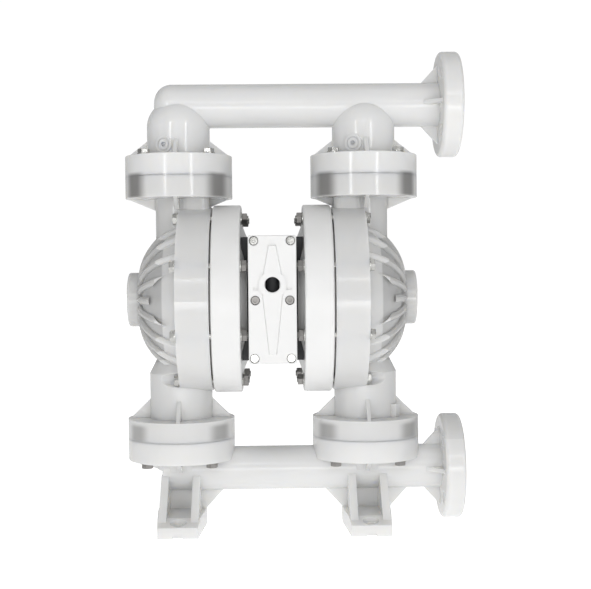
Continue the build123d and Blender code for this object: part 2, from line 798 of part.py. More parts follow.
# ================================================================ diaphragm group
def diaphragm():
    """Moulded diaphragm: flat middle, one rolling fold, clamped rim with its bead."""
    half, rim_half = diaphragm_thick / 2, (rim_in_x - air_rim_out_x) / 2
    fold_r = chamber_mouth_r - fold_set
    middle_r = (piston_r + fold_r) / 2
    x = liquid_gap_x
    with BuildPart() as diaphragm:
        with BuildSketch(meridian(0)):
            with BuildLine():
                Polyline(
                    (x - half, piston_r + 1),
                    (x - half, stud_r + stud_gap),
                    (x + half, stud_r + stud_gap),
                    (x + half, piston_r + 1),
                )
                ThreePointArc(
                    (x + half, piston_r + 1),
                    (x + half - fold_depth, middle_r),
                    (x + rim_half, fold_r),
                )
                Polyline(
                    (x + rim_half, fold_r),
                    (x + rim_half, diaphragm_clamp_r),
                    (x - rim_half, diaphragm_clamp_r),
                    (x - rim_half, fold_r),
                )
                ThreePointArc(
                    (x - rim_half, fold_r),
                    (x - half - fold_depth, middle_r),
                    (x - half, piston_r + 1),
                )
            make_face()
        revolve(axis=diaphragm_axis)
        with BuildSketch(across(x - rim_half - bead_height + seal_gap)):
            Circle(bead_r[1])
            Circle(bead_r[0], mode=Mode.SUBTRACT)
        extrude(amount=2 * (rim_half + bead_height - seal_gap))
    pair(diaphragm.part, "diaphragm")


def pistons():
    """Clamp plates of a diaphragm: a flat one on the air side, a domed one on the liquid side."""
    inner_x, outer_x = liquid_gap_x - diaphragm_thick / 2, liquid_gap_x + diaphragm_thick / 2
    stud_hole = stud_r + thread_gap
    with BuildPart() as inner_piston:
        with BuildSketch(meridian(0)):
            with BuildLine():
                Polyline(
                    (inner_face_x, stud_hole),
                    (inner_face_x, piston_r),
                    (inner_x, piston_r),
                    (inner_x, stud_hole),
                    close=True,
                )
            make_face()
            fillet(vertices().sort_by_distance((inner_face_x, piston_r))[0], piston_edge)
        revolve(axis=diaphragm_axis)
    pair(inner_piston.part, "inner_piston")
    with BuildPart() as outer_piston:
        with BuildSketch(meridian(0)):
            with BuildLine():
                Polyline(
                    (outer_x + stud_out + stud_gap, 0),
                    (outer_x + stud_out + stud_gap, stud_hole),
                    (outer_x, stud_hole),
                    (outer_x, piston_r),
                    (outer_x + piston_edge, piston_r),
                )
                ThreePointArc(
                    (outer_x + piston_edge, piston_r),
                    (outer_x + piston_bulge[0], piston_bulge[1]),
                    (outer_x + outer_piston_thick, piston_hub_r),
                )
                Polyline(
                    (outer_x + outer_piston_thick, piston_hub_r),
                    (outer_x + outer_piston_thick, 0),
                    (outer_x + stud_out + stud_gap, 0),
                )
            make_face()
        revolve(axis=diaphragm_axis)
    pair(outer_piston.part, "outer_piston")


def diaphragm_shaft():
    """Shaft that joins both diaphragms, with a threaded stud at each end."""
    with BuildPart() as diaphragm_shaft:
        with BuildSketch(across(-shaft_half)):
            Circle(stud_r)
        extrude(amount=2 * shaft_half)
        with BuildSketch(across(-inner_face_x)):
            Circle(shaft_r)
        extrude(amount=2 * inner_face_x)
        chamfer(edges().filter_by(GeomType.CIRCLE).group_by(Axis.X)[0], 1)
        chamfer(edges().filter_by(GeomType.CIRCLE).group_by(Axis.X)[-1], 1)
    finish(diaphragm_shaft.part, "diaphragm_shaft")


# ================================================================ centre section
def centre_block():
    """Dark middle housing: shaft and pilot bores, air ways, and the tapped holes around it."""
    with BuildPart() as centre_block:
        with BuildSketch(Plane.YZ.offset(-block_x)):
            with Locations((0, valve_z)):
                Rectangle(2 * block_y, 2 * block_z)
            rear = vertices().group_by(Axis.X)[-1]
            chamfer(rear, block_chamfer)
        extrude(amount=2 * block_x)
        with BuildSketch(across(-block_x), across(core_x)):
            Circle(hub_face_r + spigot_gap)
        extrude(amount=block_x - core_x, mode=Mode.SUBTRACT)
        with BuildSketch(across(-block_x)):
            Circle(bushing_r)
            with Locations((0, pilot_rise)):
                Circle(pilot_sleeve_r)
        extrude(amount=2 * block_x, mode=Mode.SUBTRACT)
        with BuildSketch(across(-core_x), across(core_x - cap_grip)):
            with PolarLocations(hub_bolt_r, hub_bolts, start_angle=diagonal):
                Circle(cap_screw_r + thread_gap)
        extrude(amount=cap_grip, mode=Mode.SUBTRACT)
        for side in sides.values():
            with BuildSketch(across(side * air_way_x)):
                with Locations((side * air_way_y, -pilot_rise)):
                    Circle(air_way_r)
            extrude(amount=side * (block_x - air_way_x), mode=Mode.SUBTRACT)
        with BuildSketch(facing(-block_y, chamber_z)):
            with Locations((air_way_x + air_way_r, -pilot_rise), (-air_way_x - air_way_r, -pilot_rise)):
                Circle(air_way_r - 1)
        extrude(amount=-(block_y + air_way_y), mode=Mode.SUBTRACT)
        with BuildSketch(facing(-block_y, chamber_z)):
            with Locations((0, -exhaust_drop)):
                Circle(exhaust_way_r)
        extrude(amount=-2 * block_y, mode=Mode.SUBTRACT)
        with BuildSketch(facing(-block_y, valve_z)):
            with Locations(*valve_bolt_places()):
                Circle(cap_screw_r + thread_gap)
        extrude(amount=-cap_grip, mode=Mode.SUBTRACT)
        with BuildSketch(facing(block_y - cap_grip, plate_z)):
            with GridLocations(2 * plate_bolt_x, 2 * plate_bolt_dz, 2, 2):
                Circle(cap_screw_r + thread_gap)
        extrude(amount=-cap_grip, mode=Mode.SUBTRACT)
    finish(centre_block.part, "centre_block")


def valve_bolt_places():
    """Corner and middle cap screws of the air valve, from its centre."""
    corners = [(i * valve_bolt_x, j * valve_bolt_dz) for i in (-1, 1) for j in (-1, 1)]
    return corners + [(i * mid_bolt_x, mid_bolt_z - valve_z) for i in (-1, 1)]


def shaft_guides():
    """Bushing and seal at each end of the shaft's bore."""
    for name, outer_x, length in (
        ("shaft_bushings", core_x - seal_long, bushing_long),
        ("shaft_seals", core_x, seal_long),
    ):
        with BuildPart() as guide:
            with BuildSketch(across(outer_x - length), across(-outer_x)):
                Circle(bushing_r)
                Circle(shaft_r + run_fit, mode=Mode.SUBTRACT)
            extrude(amount=length)
        finish(guide.part, name)


def pilot_valve():
    """Pilot sleeve in the block, and the spool that the inner pistons push at the end of each stroke."""
    with BuildPart() as pilot_sleeve:
        with BuildSketch(across(-hub_face_x)):
            with Locations((0, pilot_rise)):
                Circle(pilot_sleeve_r)
                Circle(pilot_r + run_fit, mode=Mode.SUBTRACT)
        extrude(amount=2 * hub_face_x)
    finish(pilot_sleeve.part, "pilot_sleeve")
    with BuildPart() as pilot_spool:
        with BuildSketch(across(-pilot_half)):
            with Locations((0, pilot_rise)):
                Circle(pilot_r)
        extrude(amount=2 * pilot_half)
        with BuildSketch(across(-pilot_waist / 2)):
            with Locations((0, pilot_rise)):
                Circle(pilot_r)
                Circle(pilot_waist_r, mode=Mode.SUBTRACT)
        extrude(amount=pilot_waist, mode=Mode.SUBTRACT)
    finish(pilot_spool.part, "pilot_spool")


# ================================================================ air valve
def air_valve_gasket():
    """Gasket between the air valve and the centre block."""
    with BuildPart() as air_valve_gasket:
        with BuildSketch(facing(valve_back_y, valve_z)):
            Rectangle(valve_width - 2, 2 * block_z)
            with Locations(*valve_bolt_places()):
                Circle(cap_screw_r + bolt_hole_gap, mode=Mode.SUBTRACT)
            for x in (-1, 1):
                with Locations((x * (air_way_x + air_way_r), chamber_z - pilot_rise - valve_z)):
                    Circle(air_way_r, mode=Mode.SUBTRACT)
            with Locations((0, chamber_z - exhaust_drop - valve_z)):
                Circle(exhaust_way_r, mode=Mode.SUBTRACT)
        extrude(amount=-valve_gasket_thick)
    finish(air_valve_gasket.part, "air_valve_gasket")


def air_valve_body():
    """White valve body: spool bore from the top, air inlet boss in front, ports at the back."""
    top = valve_z + valve_height / 2
    with BuildPart() as air_valve_body:
        with BuildSketch(facing(valve_back_y, valve_z)):
            RectangleRounded(valve_width, valve_height, valve_edge_r)
        extrude(amount=valve_depth)
        front = edges().group_by(Axis.Y)[0]
        fillet(front, valve_front_r)
        wide, narrow = spine_w
        rise = inlet_z - valve_z
        with BuildSketch(facing(valve_front_y, valve_z)):
            for way in (-1, 1):
                reach = valve_height / 2 - spine_end
                with BuildLine():
                    Polyline(
                        (-wide / 2, rise),
                        (wide / 2, rise),
                        (narrow / 2, way * reach),
                        (-narrow / 2, way * reach),
                        close=True,
                    )
                make_face()
        extrude(amount=spine_out, taper=spine_taper)
        with BuildSketch(facing(valve_front_y, inlet_z)):
            Circle(inlet_boss_r)
        extrude(amount=inlet_boss_out)
        with BuildSketch(facing(valve_front_y - inlet_boss_out, inlet_z)):
            Circle(inlet_r)
        extrude(amount=-inlet_deep, mode=Mode.SUBTRACT)
        with BuildSketch(facing(valve_front_y, valve_z)):
            with Locations(*valve_bolt_places()):
                Circle(cap_screw_r + bolt_hole_gap)
        extrude(amount=-valve_depth, mode=Mode.SUBTRACT)
        with BuildSketch(facing(valve_front_y, valve_z)):
            with Locations(*valve_bolt_places()):
                Circle(cap_head_r + head_gap)
        extrude(amount=-(cap_head_h + cap_sink), mode=Mode.SUBTRACT)
        width, height, depth = vent_slot
        with BuildSketch(facing(valve_front_y, vent_z)):
            with GridLocations(2 * vent_x, 1, 2, 1):
                Rectangle(width, height)
        extrude(amount=-depth, mode=Mode.SUBTRACT)
        with BuildSketch(Plane.XY.offset(top)):
            with Locations((0, spool_y)):
                Circle(spool_bore_r)
        extrude(amount=-spool_bore_deep, mode=Mode.SUBTRACT)
        with BuildSketch(Plane.XY.offset(top)):
            with Locations((0, spool_y)):
                Circle(cap_r + run_fit)
        extrude(amount=-(cap_thick + 2 * ring_thick), mode=Mode.SUBTRACT)
        with BuildSketch(facing(valve_back_y, chamber_z)):
            with Locations((air_way_x + air_way_r, -pilot_rise), (-air_way_x - air_way_r, -pilot_rise)):
                Circle(air_way_r)
            with Locations((0, -exhaust_drop)):
                Circle(exhaust_way_r)
        extrude(amount=valve_port_deep, mode=Mode.SUBTRACT)
    finish(air_valve_body.part, "air_valve_body")


def air_valve_internals():
    """Spool, end cap and the ring that keeps the cap in."""
    top = valve_z + valve_height / 2
    cap_top = top - 2 * ring_thick
    floor = top - spool_bore_deep
    spool_long = cap_top - cap_thick - floor - spool_travel - 2 * stop_gap
    with BuildPart() as air_valve_spool:
        with BuildSketch(Plane.XY.offset(floor + stop_gap)):
            with Locations((0, spool_y)):
                Circle(spool_waist_r)
        extrude(amount=spool_long)
        for start in (0, (spool_long - spool_land) / 2, spool_long - spool_land):
            with BuildSketch(Plane.XY.offset(floor + stop_gap + start)):
                with Locations((0, spool_y)):
                    Circle(spool_bore_r - run_fit)
            extrude(amount=spool_land)
    finish(air_valve_spool.part, "air_valve_spool")
    with BuildPart() as air_valve_end_cap:
        with BuildSketch(Plane.XY.offset(cap_top)):
            with Locations((0, spool_y)):
                Circle(cap_r)
        extrude(amount=-cap_thick)
        with BuildSketch(Plane.XY.offset(cap_top)):
            with Locations((0, spool_y)):
                RegularPolygon(cap_key[0] / 2, hex_sides, major_radius=False)
        extrude(amount=-cap_key[1], mode=Mode.SUBTRACT)
    finish(air_valve_end_cap.part, "air_valve_end_cap")
    with BuildPart() as end_cap_retaining_ring:
        with BuildSketch(Plane.XY.offset(cap_top)):
            with Locations((0, spool_y)):
                Circle(cap_r)
                Circle(cap_r - ring_wide, mode=Mode.SUBTRACT)
            with Locations((0, spool_y - cap_r)):
                Rectangle(ring_split, cap_r, mode=Mode.SUBTRACT)
        extrude(amount=ring_thick)
    finish(end_cap_retaining_ring.part, "end_cap_retaining_ring")


# ================================================================ exhaust
def exhaust_plate():
    """Gasket, rear plate with the tapped exhaust port, and its screws."""
    for name, near, thick, gap in (
        ("exhaust_gasket", block_y, valve_gasket_thick, 0.0),
        ("exhaust_plate", block_y + valve_gasket_thick, plate_thick, thread_gap),
    ):
        with BuildPart() as plate:
            with BuildSketch(facing(near, plate_z)):
                RectangleRounded(valve_width, plate_height, 2 * valve_edge_r)
                with GridLocations(2 * plate_bolt_x, 2 * plate_bolt_dz, 2, 2):
                    Circle(cap_screw_r + bolt_hole_gap, mode=Mode.SUBTRACT)
                with Locations((0, chamber_z - exhaust_drop - plate_z)):
                    Circle(muffler_neck_r + gap, mode=Mode.SUBTRACT)
            extrude(amount=-thick)
        finish(plate.part, name)
    with BuildPart() as exhaust_plate_screws:
        outer = block_y + valve_gasket_thick + plate_thick
        with BuildSketch(facing(outer, plate_z)):
            with GridLocations(2 * plate_bolt_x, 2 * plate_bolt_dz, 2, 2):
                RegularPolygon(cap_head_r, hex_sides, major_radius=False)
        extrude(amount=-hub_head_h)
        with BuildSketch(facing(outer, plate_z)):
            with GridLocations(2 * plate_bolt_x, 2 * plate_bolt_dz, 2, 2):
                Circle(cap_screw_r)
        extrude(amount=plate_thick + valve_gasket_thick + cap_grip - 2)
    finish(exhaust_plate_screws.part, "exhaust_plate_screws")


def muffler():
    """Exhaust muffler: screwed neck, hexagon, finned body with slots and a domed end."""
    y0 = block_y + valve_gasket_thick + plate_thick
    z0 = chamber_z - exhaust_drop
    body_y = y0 + muffler_neck
    fin = muffler_long / (2 * muffler_fins)
    with BuildPart() as muffler:
        with BuildSketch(facing(y0 - plate_thick, z0)):
            Circle(muffler_neck_r)
        extrude(amount=-(plate_thick + muffler_neck))
        with BuildSketch(facing(y0, z0)):
            RegularPolygon(muffler_hex_af / 2, hex_sides, major_radius=False)
        extrude(amount=-muffler_neck)
        with BuildSketch(facing(body_y, z0)):
            Circle(muffler_r - muffler_fin_h)
        extrude(amount=-muffler_long)
        for k in range(muffler_fins + 1):
            with BuildSketch(facing(body_y + 2 * k * (muffler_long - fin) / (2 * muffler_fins), z0)):
                Circle(muffler_r)
            extrude(amount=-fin)
        far = edges().filter_by(GeomType.CIRCLE).sort_by(Axis.Y)[-1]
        fillet(far, muffler_end_r)
        with BuildSketch(facing(y0 - plate_thick, z0)):
            Circle(muffler_bore_r)
        extrude(amount=-(plate_thick + muffler_neck + muffler_long - muffler_floor), mode=Mode.SUBTRACT)
        with BuildSketch(facing(body_y + fin, z0)):
            with PolarLocations(muffler_r, muffler_slots):
                Rectangle(2 * muffler_r, muffler_slot)
        extrude(amount=-fin, mode=Mode.SUBTRACT)
    finish(muffler.part, "muffler")


# ================================================================ ball valves
def ball_valves():
    """Seat, seal and ball of each of the four check valves."""
    for place, joint_z in (("discharge", upper_joint_z), ("suction", lower_joint_z)):
        for side, way in sides.items():
            x = way * stack_x
            with BuildPart() as seat:
                with BuildSketch(upright(x)):
                    with BuildLine():
                        Polyline(
                            (seat_bore_d / 2, joint_z - seat_thick),
                            (seat_d / 2, joint_z - seat_thick),
                            (seat_d / 2, joint_z),
                            (seat_bore_d / 2 + seat_cone, joint_z),
                            (seat_bore_d / 2, joint_z - seat_cone),
                            close=True,
                        )
                    make_face()
                revolve(axis=stack_axis(x))
            finish(seat.part, f"{place}_seat_{side}")
            with BuildPart() as ball:
                with BuildSketch(upright(x)):
                    with BuildLine():
                        CenterArc((0, joint_z + ball_rise), ball_r, -90, 180)
                        Line((0, joint_z + ball_rise + ball_r), (0, joint_z + ball_rise - ball_r))
                    make_face()
                revolve(axis=stack_axis(x))
            finish(ball.part, f"{place}_ball_{side}")
        with BuildPart() as seals:
            with BuildSketch(level(-stack_x, joint_z), level(stack_x, joint_z)):
                Circle(seal_in_r + seal_gap + seal_width)
                Circle(seal_in_r + seal_gap, mode=Mode.SUBTRACT)
            extrude(amount=-seal_thick)
        finish(seals.part, f"{place}_seat_seals")


# ================================================================ fasteners
def rim_fasteners():
    """Bolts, nuts and washers around each diaphragm."""
    head_x = rim_out_x + washer_thick
    nut_x = air_rim_in_x - washer_thick - nut_h
    with BuildPart() as bolts:
        with BuildSketch(across(head_x)):
            with PolarLocations(rim_bolt_r, rim_bolts, start_angle=rim_bolt_start):
                RegularPolygon(bolt_head_af / 2, hex_sides, major_radius=False)
        extrude(amount=bolt_head_h)
        with BuildSketch(across(head_x)):
            with PolarLocations(rim_bolt_r, rim_bolts, start_angle=rim_bolt_start):
                Circle(bolt_r)
        extrude(amount=-(head_x - nut_x + bolt_past_nut))
    pair(bolts.part, "rim_bolts")
    with BuildPart() as nuts:
        with BuildSketch(across(nut_x)):
            with PolarLocations(rim_bolt_r, rim_bolts, start_angle=rim_bolt_start):
                RegularPolygon(bolt_head_af / 2, hex_sides, major_radius=False)
                Circle(tapped_r, mode=Mode.SUBTRACT)
        extrude(amount=nut_h)
    pair(nuts.part, "rim_nuts")
    with BuildPart() as washers:
        with BuildSketch(across(rim_out_x), across(air_rim_in_x - washer_thick)):
            with PolarLocations(rim_bolt_r, rim_bolts, start_angle=rim_bolt_start):
                Circle(washer_r)
                Circle(bolt_r + thread_gap, mode=Mode.SUBTRACT)
        extrude(amount=washer_thick)
    pair(washers.part, "rim_washers")


def valve_flange_fasteners():
    """Bolts, washers and moulded-in inserts of the four valve flanges."""
    for place, joint_z, way in (("discharge", upper_joint_z, 1), ("suction", lower_joint_z, -1)):
        outer_z = joint_z + way * manifold_flange_thick
        head_z = outer_z + way * washer_thick
        grip = manifold_flange_thick + washer_thick + insert_set + insert_long - 1
        with BuildPart() as bolts:
            with BuildSketch(level(-stack_x, head_z), level(stack_x, head_z)):
                with PolarLocations(valve_bolt_circle_d / 2, valve_bolts, start_angle=diagonal):
                    RegularPolygon(bolt_head_af / 2, hex_sides, major_radius=False)
            extrude(amount=way * bolt_head_h)
            with BuildSketch(level(-stack_x, head_z), level(stack_x, head_z)):
                with PolarLocations(valve_bolt_circle_d / 2, valve_bolts, start_angle=diagonal):
                    Circle(bolt_r)
            extrude(amount=-way * grip)
        finish(bolts.part, f"{place}_flange_bolts")
        with BuildPart() as washers:
            with BuildSketch(level(-stack_x, outer_z), level(stack_x, outer_z)):
                with PolarLocations(valve_bolt_circle_d / 2, valve_bolts, start_angle=diagonal):
                    Circle(washer_r)
                    Circle(tapped_r, mode=Mode.SUBTRACT)
            extrude(amount=way * washer_thick)
        finish(washers.part, f"{place}_flange_washers")
        with BuildPart() as inserts:
            top_z = joint_z - way * insert_set
            with BuildSketch(level(-stack_x, top_z), level(stack_x, top_z)):
                with PolarLocations(valve_bolt_circle_d / 2, valve_bolts, start_angle=diagonal):
                    RegularPolygon(insert_af / 2, hex_sides, major_radius=False)
                    Circle(tapped_r, mode=Mode.SUBTRACT)
            extrude(amount=-way * insert_long)
        finish(inserts.part, f"{place}_flange_inserts")


def cap_screws():
    """Socket cap screws of the air valve, and the hub screws inside the air chambers."""
    head_y = valve_front_y + cap_sink
    with BuildPart() as air_valve_screws:
        with BuildSketch(facing(head_y, valve_z)):
            with Locations(*valve_bolt_places()):
                Circle(cap_head_r)
        extrude(amount=-cap_head_h)
        with BuildSketch(facing(head_y + cap_head_h, valve_z)):
            with Locations(*valve_bolt_places()):
                Circle(cap_screw_r)
        extrude(amount=-(valve_depth - cap_sink - cap_head_h + valve_gasket_thick + cap_grip - 2))
        with BuildSketch(facing(head_y, valve_z)):
            with Locations(*valve_bolt_places()):
                RegularPolygon(cap_socket[0] / 2, hex_sides, major_radius=False)
        extrude(amount=-cap_socket[1], mode=Mode.SUBTRACT)
    finish(air_valve_screws.part, "air_valve_screws")
    with BuildPart() as hub_screws:
        with BuildSketch(across(air_floor_x - head_gap - hub_head_h)):
            with PolarLocations(hub_bolt_r, hub_bolts, start_angle=diagonal):
                Circle(cap_head_r)
        extrude(amount=hub_head_h)
        with BuildSketch(across(air_floor_x - head_gap - hub_head_h)):
            with PolarLocations(hub_bolt_r, hub_bolts, start_angle=diagonal):
                Circle(cap_screw_r)
        extrude(amount=-(air_floor_x - head_gap - hub_head_h - core_x + cap_grip - 2))
    pair(hub_screws.part, "hub_screws")


os.makedirs("parts", exist_ok=True)
discharge_manifold()
suction_manifold()
liquid_chamber()
air_chamber()
air_chamber_gasket()
diaphragm()
pistons()
diaphragm_shaft()
centre_block()
shaft_guides()
pilot_valve()
air_valve_gasket()
air_valve_body()
air_valve_internals()
exhaust_plate()
muffler()
ball_valves()
rim_fasteners()
valve_flange_fasteners()
cap_screws()
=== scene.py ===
import json
import logging
import math
from dataclasses import dataclass
from enum import Enum
from typing import Sequence

import bmesh
import bpy
from mathutils import Euler, Matrix, Vector


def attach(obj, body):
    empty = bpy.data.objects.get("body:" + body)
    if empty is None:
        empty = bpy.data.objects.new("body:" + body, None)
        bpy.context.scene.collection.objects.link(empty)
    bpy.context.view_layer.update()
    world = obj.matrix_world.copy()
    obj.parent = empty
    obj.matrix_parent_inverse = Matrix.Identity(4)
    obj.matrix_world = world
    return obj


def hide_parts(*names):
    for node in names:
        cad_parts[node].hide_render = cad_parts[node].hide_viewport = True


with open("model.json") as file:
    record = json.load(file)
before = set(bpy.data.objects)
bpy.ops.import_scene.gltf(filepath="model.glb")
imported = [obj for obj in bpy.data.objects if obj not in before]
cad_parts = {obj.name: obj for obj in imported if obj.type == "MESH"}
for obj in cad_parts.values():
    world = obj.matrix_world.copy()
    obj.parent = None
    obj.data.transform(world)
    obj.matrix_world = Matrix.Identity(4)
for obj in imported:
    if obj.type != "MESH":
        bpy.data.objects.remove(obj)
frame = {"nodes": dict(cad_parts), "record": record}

LOG = logging.getLogger("diaphragm_pump")
HOUSING = "housing"
SHAFT_Z = 0.357
STACK_X = 0.146

Colour = tuple[float, float, float]

SPECK_TONE = 0.55
# Painted shade on the liquid chambers: output of the wall shade group, its strength, and the share of the plastic's
# own tone that it leads to.
PAINTED_WALL_SHADE = (("Chamber", 0.6, 0.86), ("Mask", 0.85, 0.62))
# Lower and upper end of the painted shade where the flanges' inserts show through, and its strength.
INSERT_SHADE_BANDS = ((0.5190, 0.5480, 0.80), (0.1440, 0.1600, 0.50))
# Colour of the painted insert shade.
INSERT_SHADE_TONE = (0.16, 0.155, 0.15)
PORT_AXES_Z = (0.661, 0.088)
RING_HEIGHT = 1.4


class Slot(Enum):
    """Material slots of the pump."""

    NATURAL = "natural_polypropylene"
    WHITE = "white_plastic"
    DARK = "dark_plastic"
    RUBBER = "seal_rubber"
    DIAPHRAGM = "diaphragm_ptfe"
    BALL = "ball_ptfe"
    PISTON = "piston_plastic"
    BRASS = "brass"
    MUFFLER = "muffler_plastic"
    INSERT = "dark_steel"
    STAINLESS = "stainless_steel"


class Way(Enum):
    """Direction that a row of fasteners points, head first."""

    RIGHT = "+x"
    LEFT = "-x"
    FRONT = "-y"
    BACK = "+y"
    UP = "+z"
    DOWN = "-z"

    def turn(self) -> Matrix:
        """Rotation that takes +Z to this direction."""
        half, full = math.radians(90), math.radians(180)
        turns = {
            Way.RIGHT: Euler((0, half, 0)),
            Way.LEFT: Euler((0, -half, 0)),
            Way.FRONT: Euler((half, 0, 0)),
            Way.BACK: Euler((-half, 0, 0)),
            Way.UP: Euler((0, 0, 0)),
            Way.DOWN: Euler((full, 0, 0)),
        }
        return turns[self].to_matrix().to_4x4()


class Graph:
    """Adds and joins nodes in one tree."""

    def __init__(self, tree: bpy.types.NodeTree) -> None:
        """Keeps the tree that the nodes go into."""
        self.tree = tree

    def add(self, kind: str, inputs: dict[str | int, object] | None = None, **settings: object) -> bpy.types.Node:
        """Adds a node.

        Args:
            kind: the node's Blender type.
            inputs: input name or number to an output or a plain value.
            settings: attributes to set on it.

        Returns:
            The new node.
        """
        node = self.tree.nodes.new(kind)
        for name, value in settings.items():
            setattr(node, name, value)
        for name, value in (inputs or {}).items():
            self.feed(node.inputs[name], value)
        return node

    def join(self, source: bpy.types.NodeSocket, target: bpy.types.NodeSocket) -> None:
        """Links an output to an input."""
        self.tree.links.new(source, target)

    def feed(self, target: bpy.types.NodeSocket, value: object) -> None:
        """Links an output, or sets a plain value, on an input."""
        if isinstance(value, bpy.types.NodeSocket):
            self.join(value, target)
        else:
            target.default_value = value

    def math(self, operation: str, *values: object) -> bpy.types.NodeSocket:
        """Result of a math node on numbers or outputs, in the node's order."""
        return self.add("ShaderNodeMath", dict(enumerate(values)), operation=operation).outputs[0]

    def times(self, first: object, second: object) -> bpy.types.NodeSocket:
        """Product of two values."""
        return self.math("MULTIPLY", first, second)

    def plus(self, first: object, second: object) -> bpy.types.NodeSocket:
        """Sum of two values."""
        return self.math("ADD", first, second)

    def minus(self, first: object, second: object) -> bpy.types.NodeSocket:
        """First value less the second."""
        return self.math("SUBTRACT", first, second)

    def length(self, first: object, second: object) -> bpy.types.NodeSocket:
        """Length of a flat vector from its two parts."""
        return self.math("SQRT", self.plus(self.times(first, first), self.times(second, second)))

    def vector(self, x: object = 0.0, y: object = 0.0, z: object = 0.0) -> bpy.types.NodeSocket:
        """Vector from its three parts."""
        return self.add("ShaderNodeCombineXYZ", {0: x, 1: y, 2: z}).outputs[0]

    def parts(self, vector: bpy.types.NodeSocket) -> Sequence[bpy.types.NodeSocket]:
        """X, Y and Z of a vector."""
        return self.add("ShaderNodeSeparateXYZ", {0: vector}).outputs

    def object_place(self) -> Sequence[bpy.types.NodeSocket]:
        """X, Y and Z of the object coordinates."""
        return self.parts(self.add("ShaderNodeTexCoord").outputs["Object"])

    def ramp(self, value: object, low: object, high: object, start: object = 0.0,
             end: object = 1.0) -> bpy.types.NodeSocket:
        """Smooth step of a value.

        Args:
            value: what is mapped.
            low: where the step starts.
            high: where it ends.
            start: result at and below low.
            end: result at and above high.

        Returns:
            The mapped value.
        """
        limits = {"Value": value, "From Min": low, "From Max": high, "To Min": start, "To Max": end}
        return self.add("ShaderNodeMapRange", limits, interpolation_type="SMOOTHSTEP").outputs[0]

    def mix(self, factor: object, first: object, second: object) -> bpy.types.NodeSocket:
        """Mixes two colours by a factor."""
        return self.add("ShaderNodeMix", {0: factor, 6: first, 7: second}, data_type="RGBA").outputs[2]


class Group(Graph):
    """A node group with named sockets: what it is given, and what it puts out."""

    def __init__(self, name: str, kind: str, inputs: dict[str, object], outputs: Sequence[str],
                 result: str = "NodeSocketFloat") -> None:
        """Starts the group.

        Args:
            name: name of the group.
            kind: its tree type.
            inputs: name to default value, or to a socket type where there is no default.
            outputs: names of its outputs.
            result: socket type of the outputs.
        """
        tree = bpy.data.node_groups.new(name, kind)
        super().__init__(tree)
        kinds = {float: "NodeSocketFloat", int: "NodeSocketInt", tuple: "NodeSocketVector"}
        for label, value in inputs.items():
            named = isinstance(value, str)
            socket = tree.interface.new_socket(
                label, in_out="INPUT", socket_type=value if named else kinds[type(value)])
            if not named:
                socket.default_value = value
        for label in outputs:
            tree.interface.new_socket(label, in_out="OUTPUT", socket_type=result)
        self.given = self.add("NodeGroupInput").outputs
        self.out = self.add("NodeGroupOutput").inputs


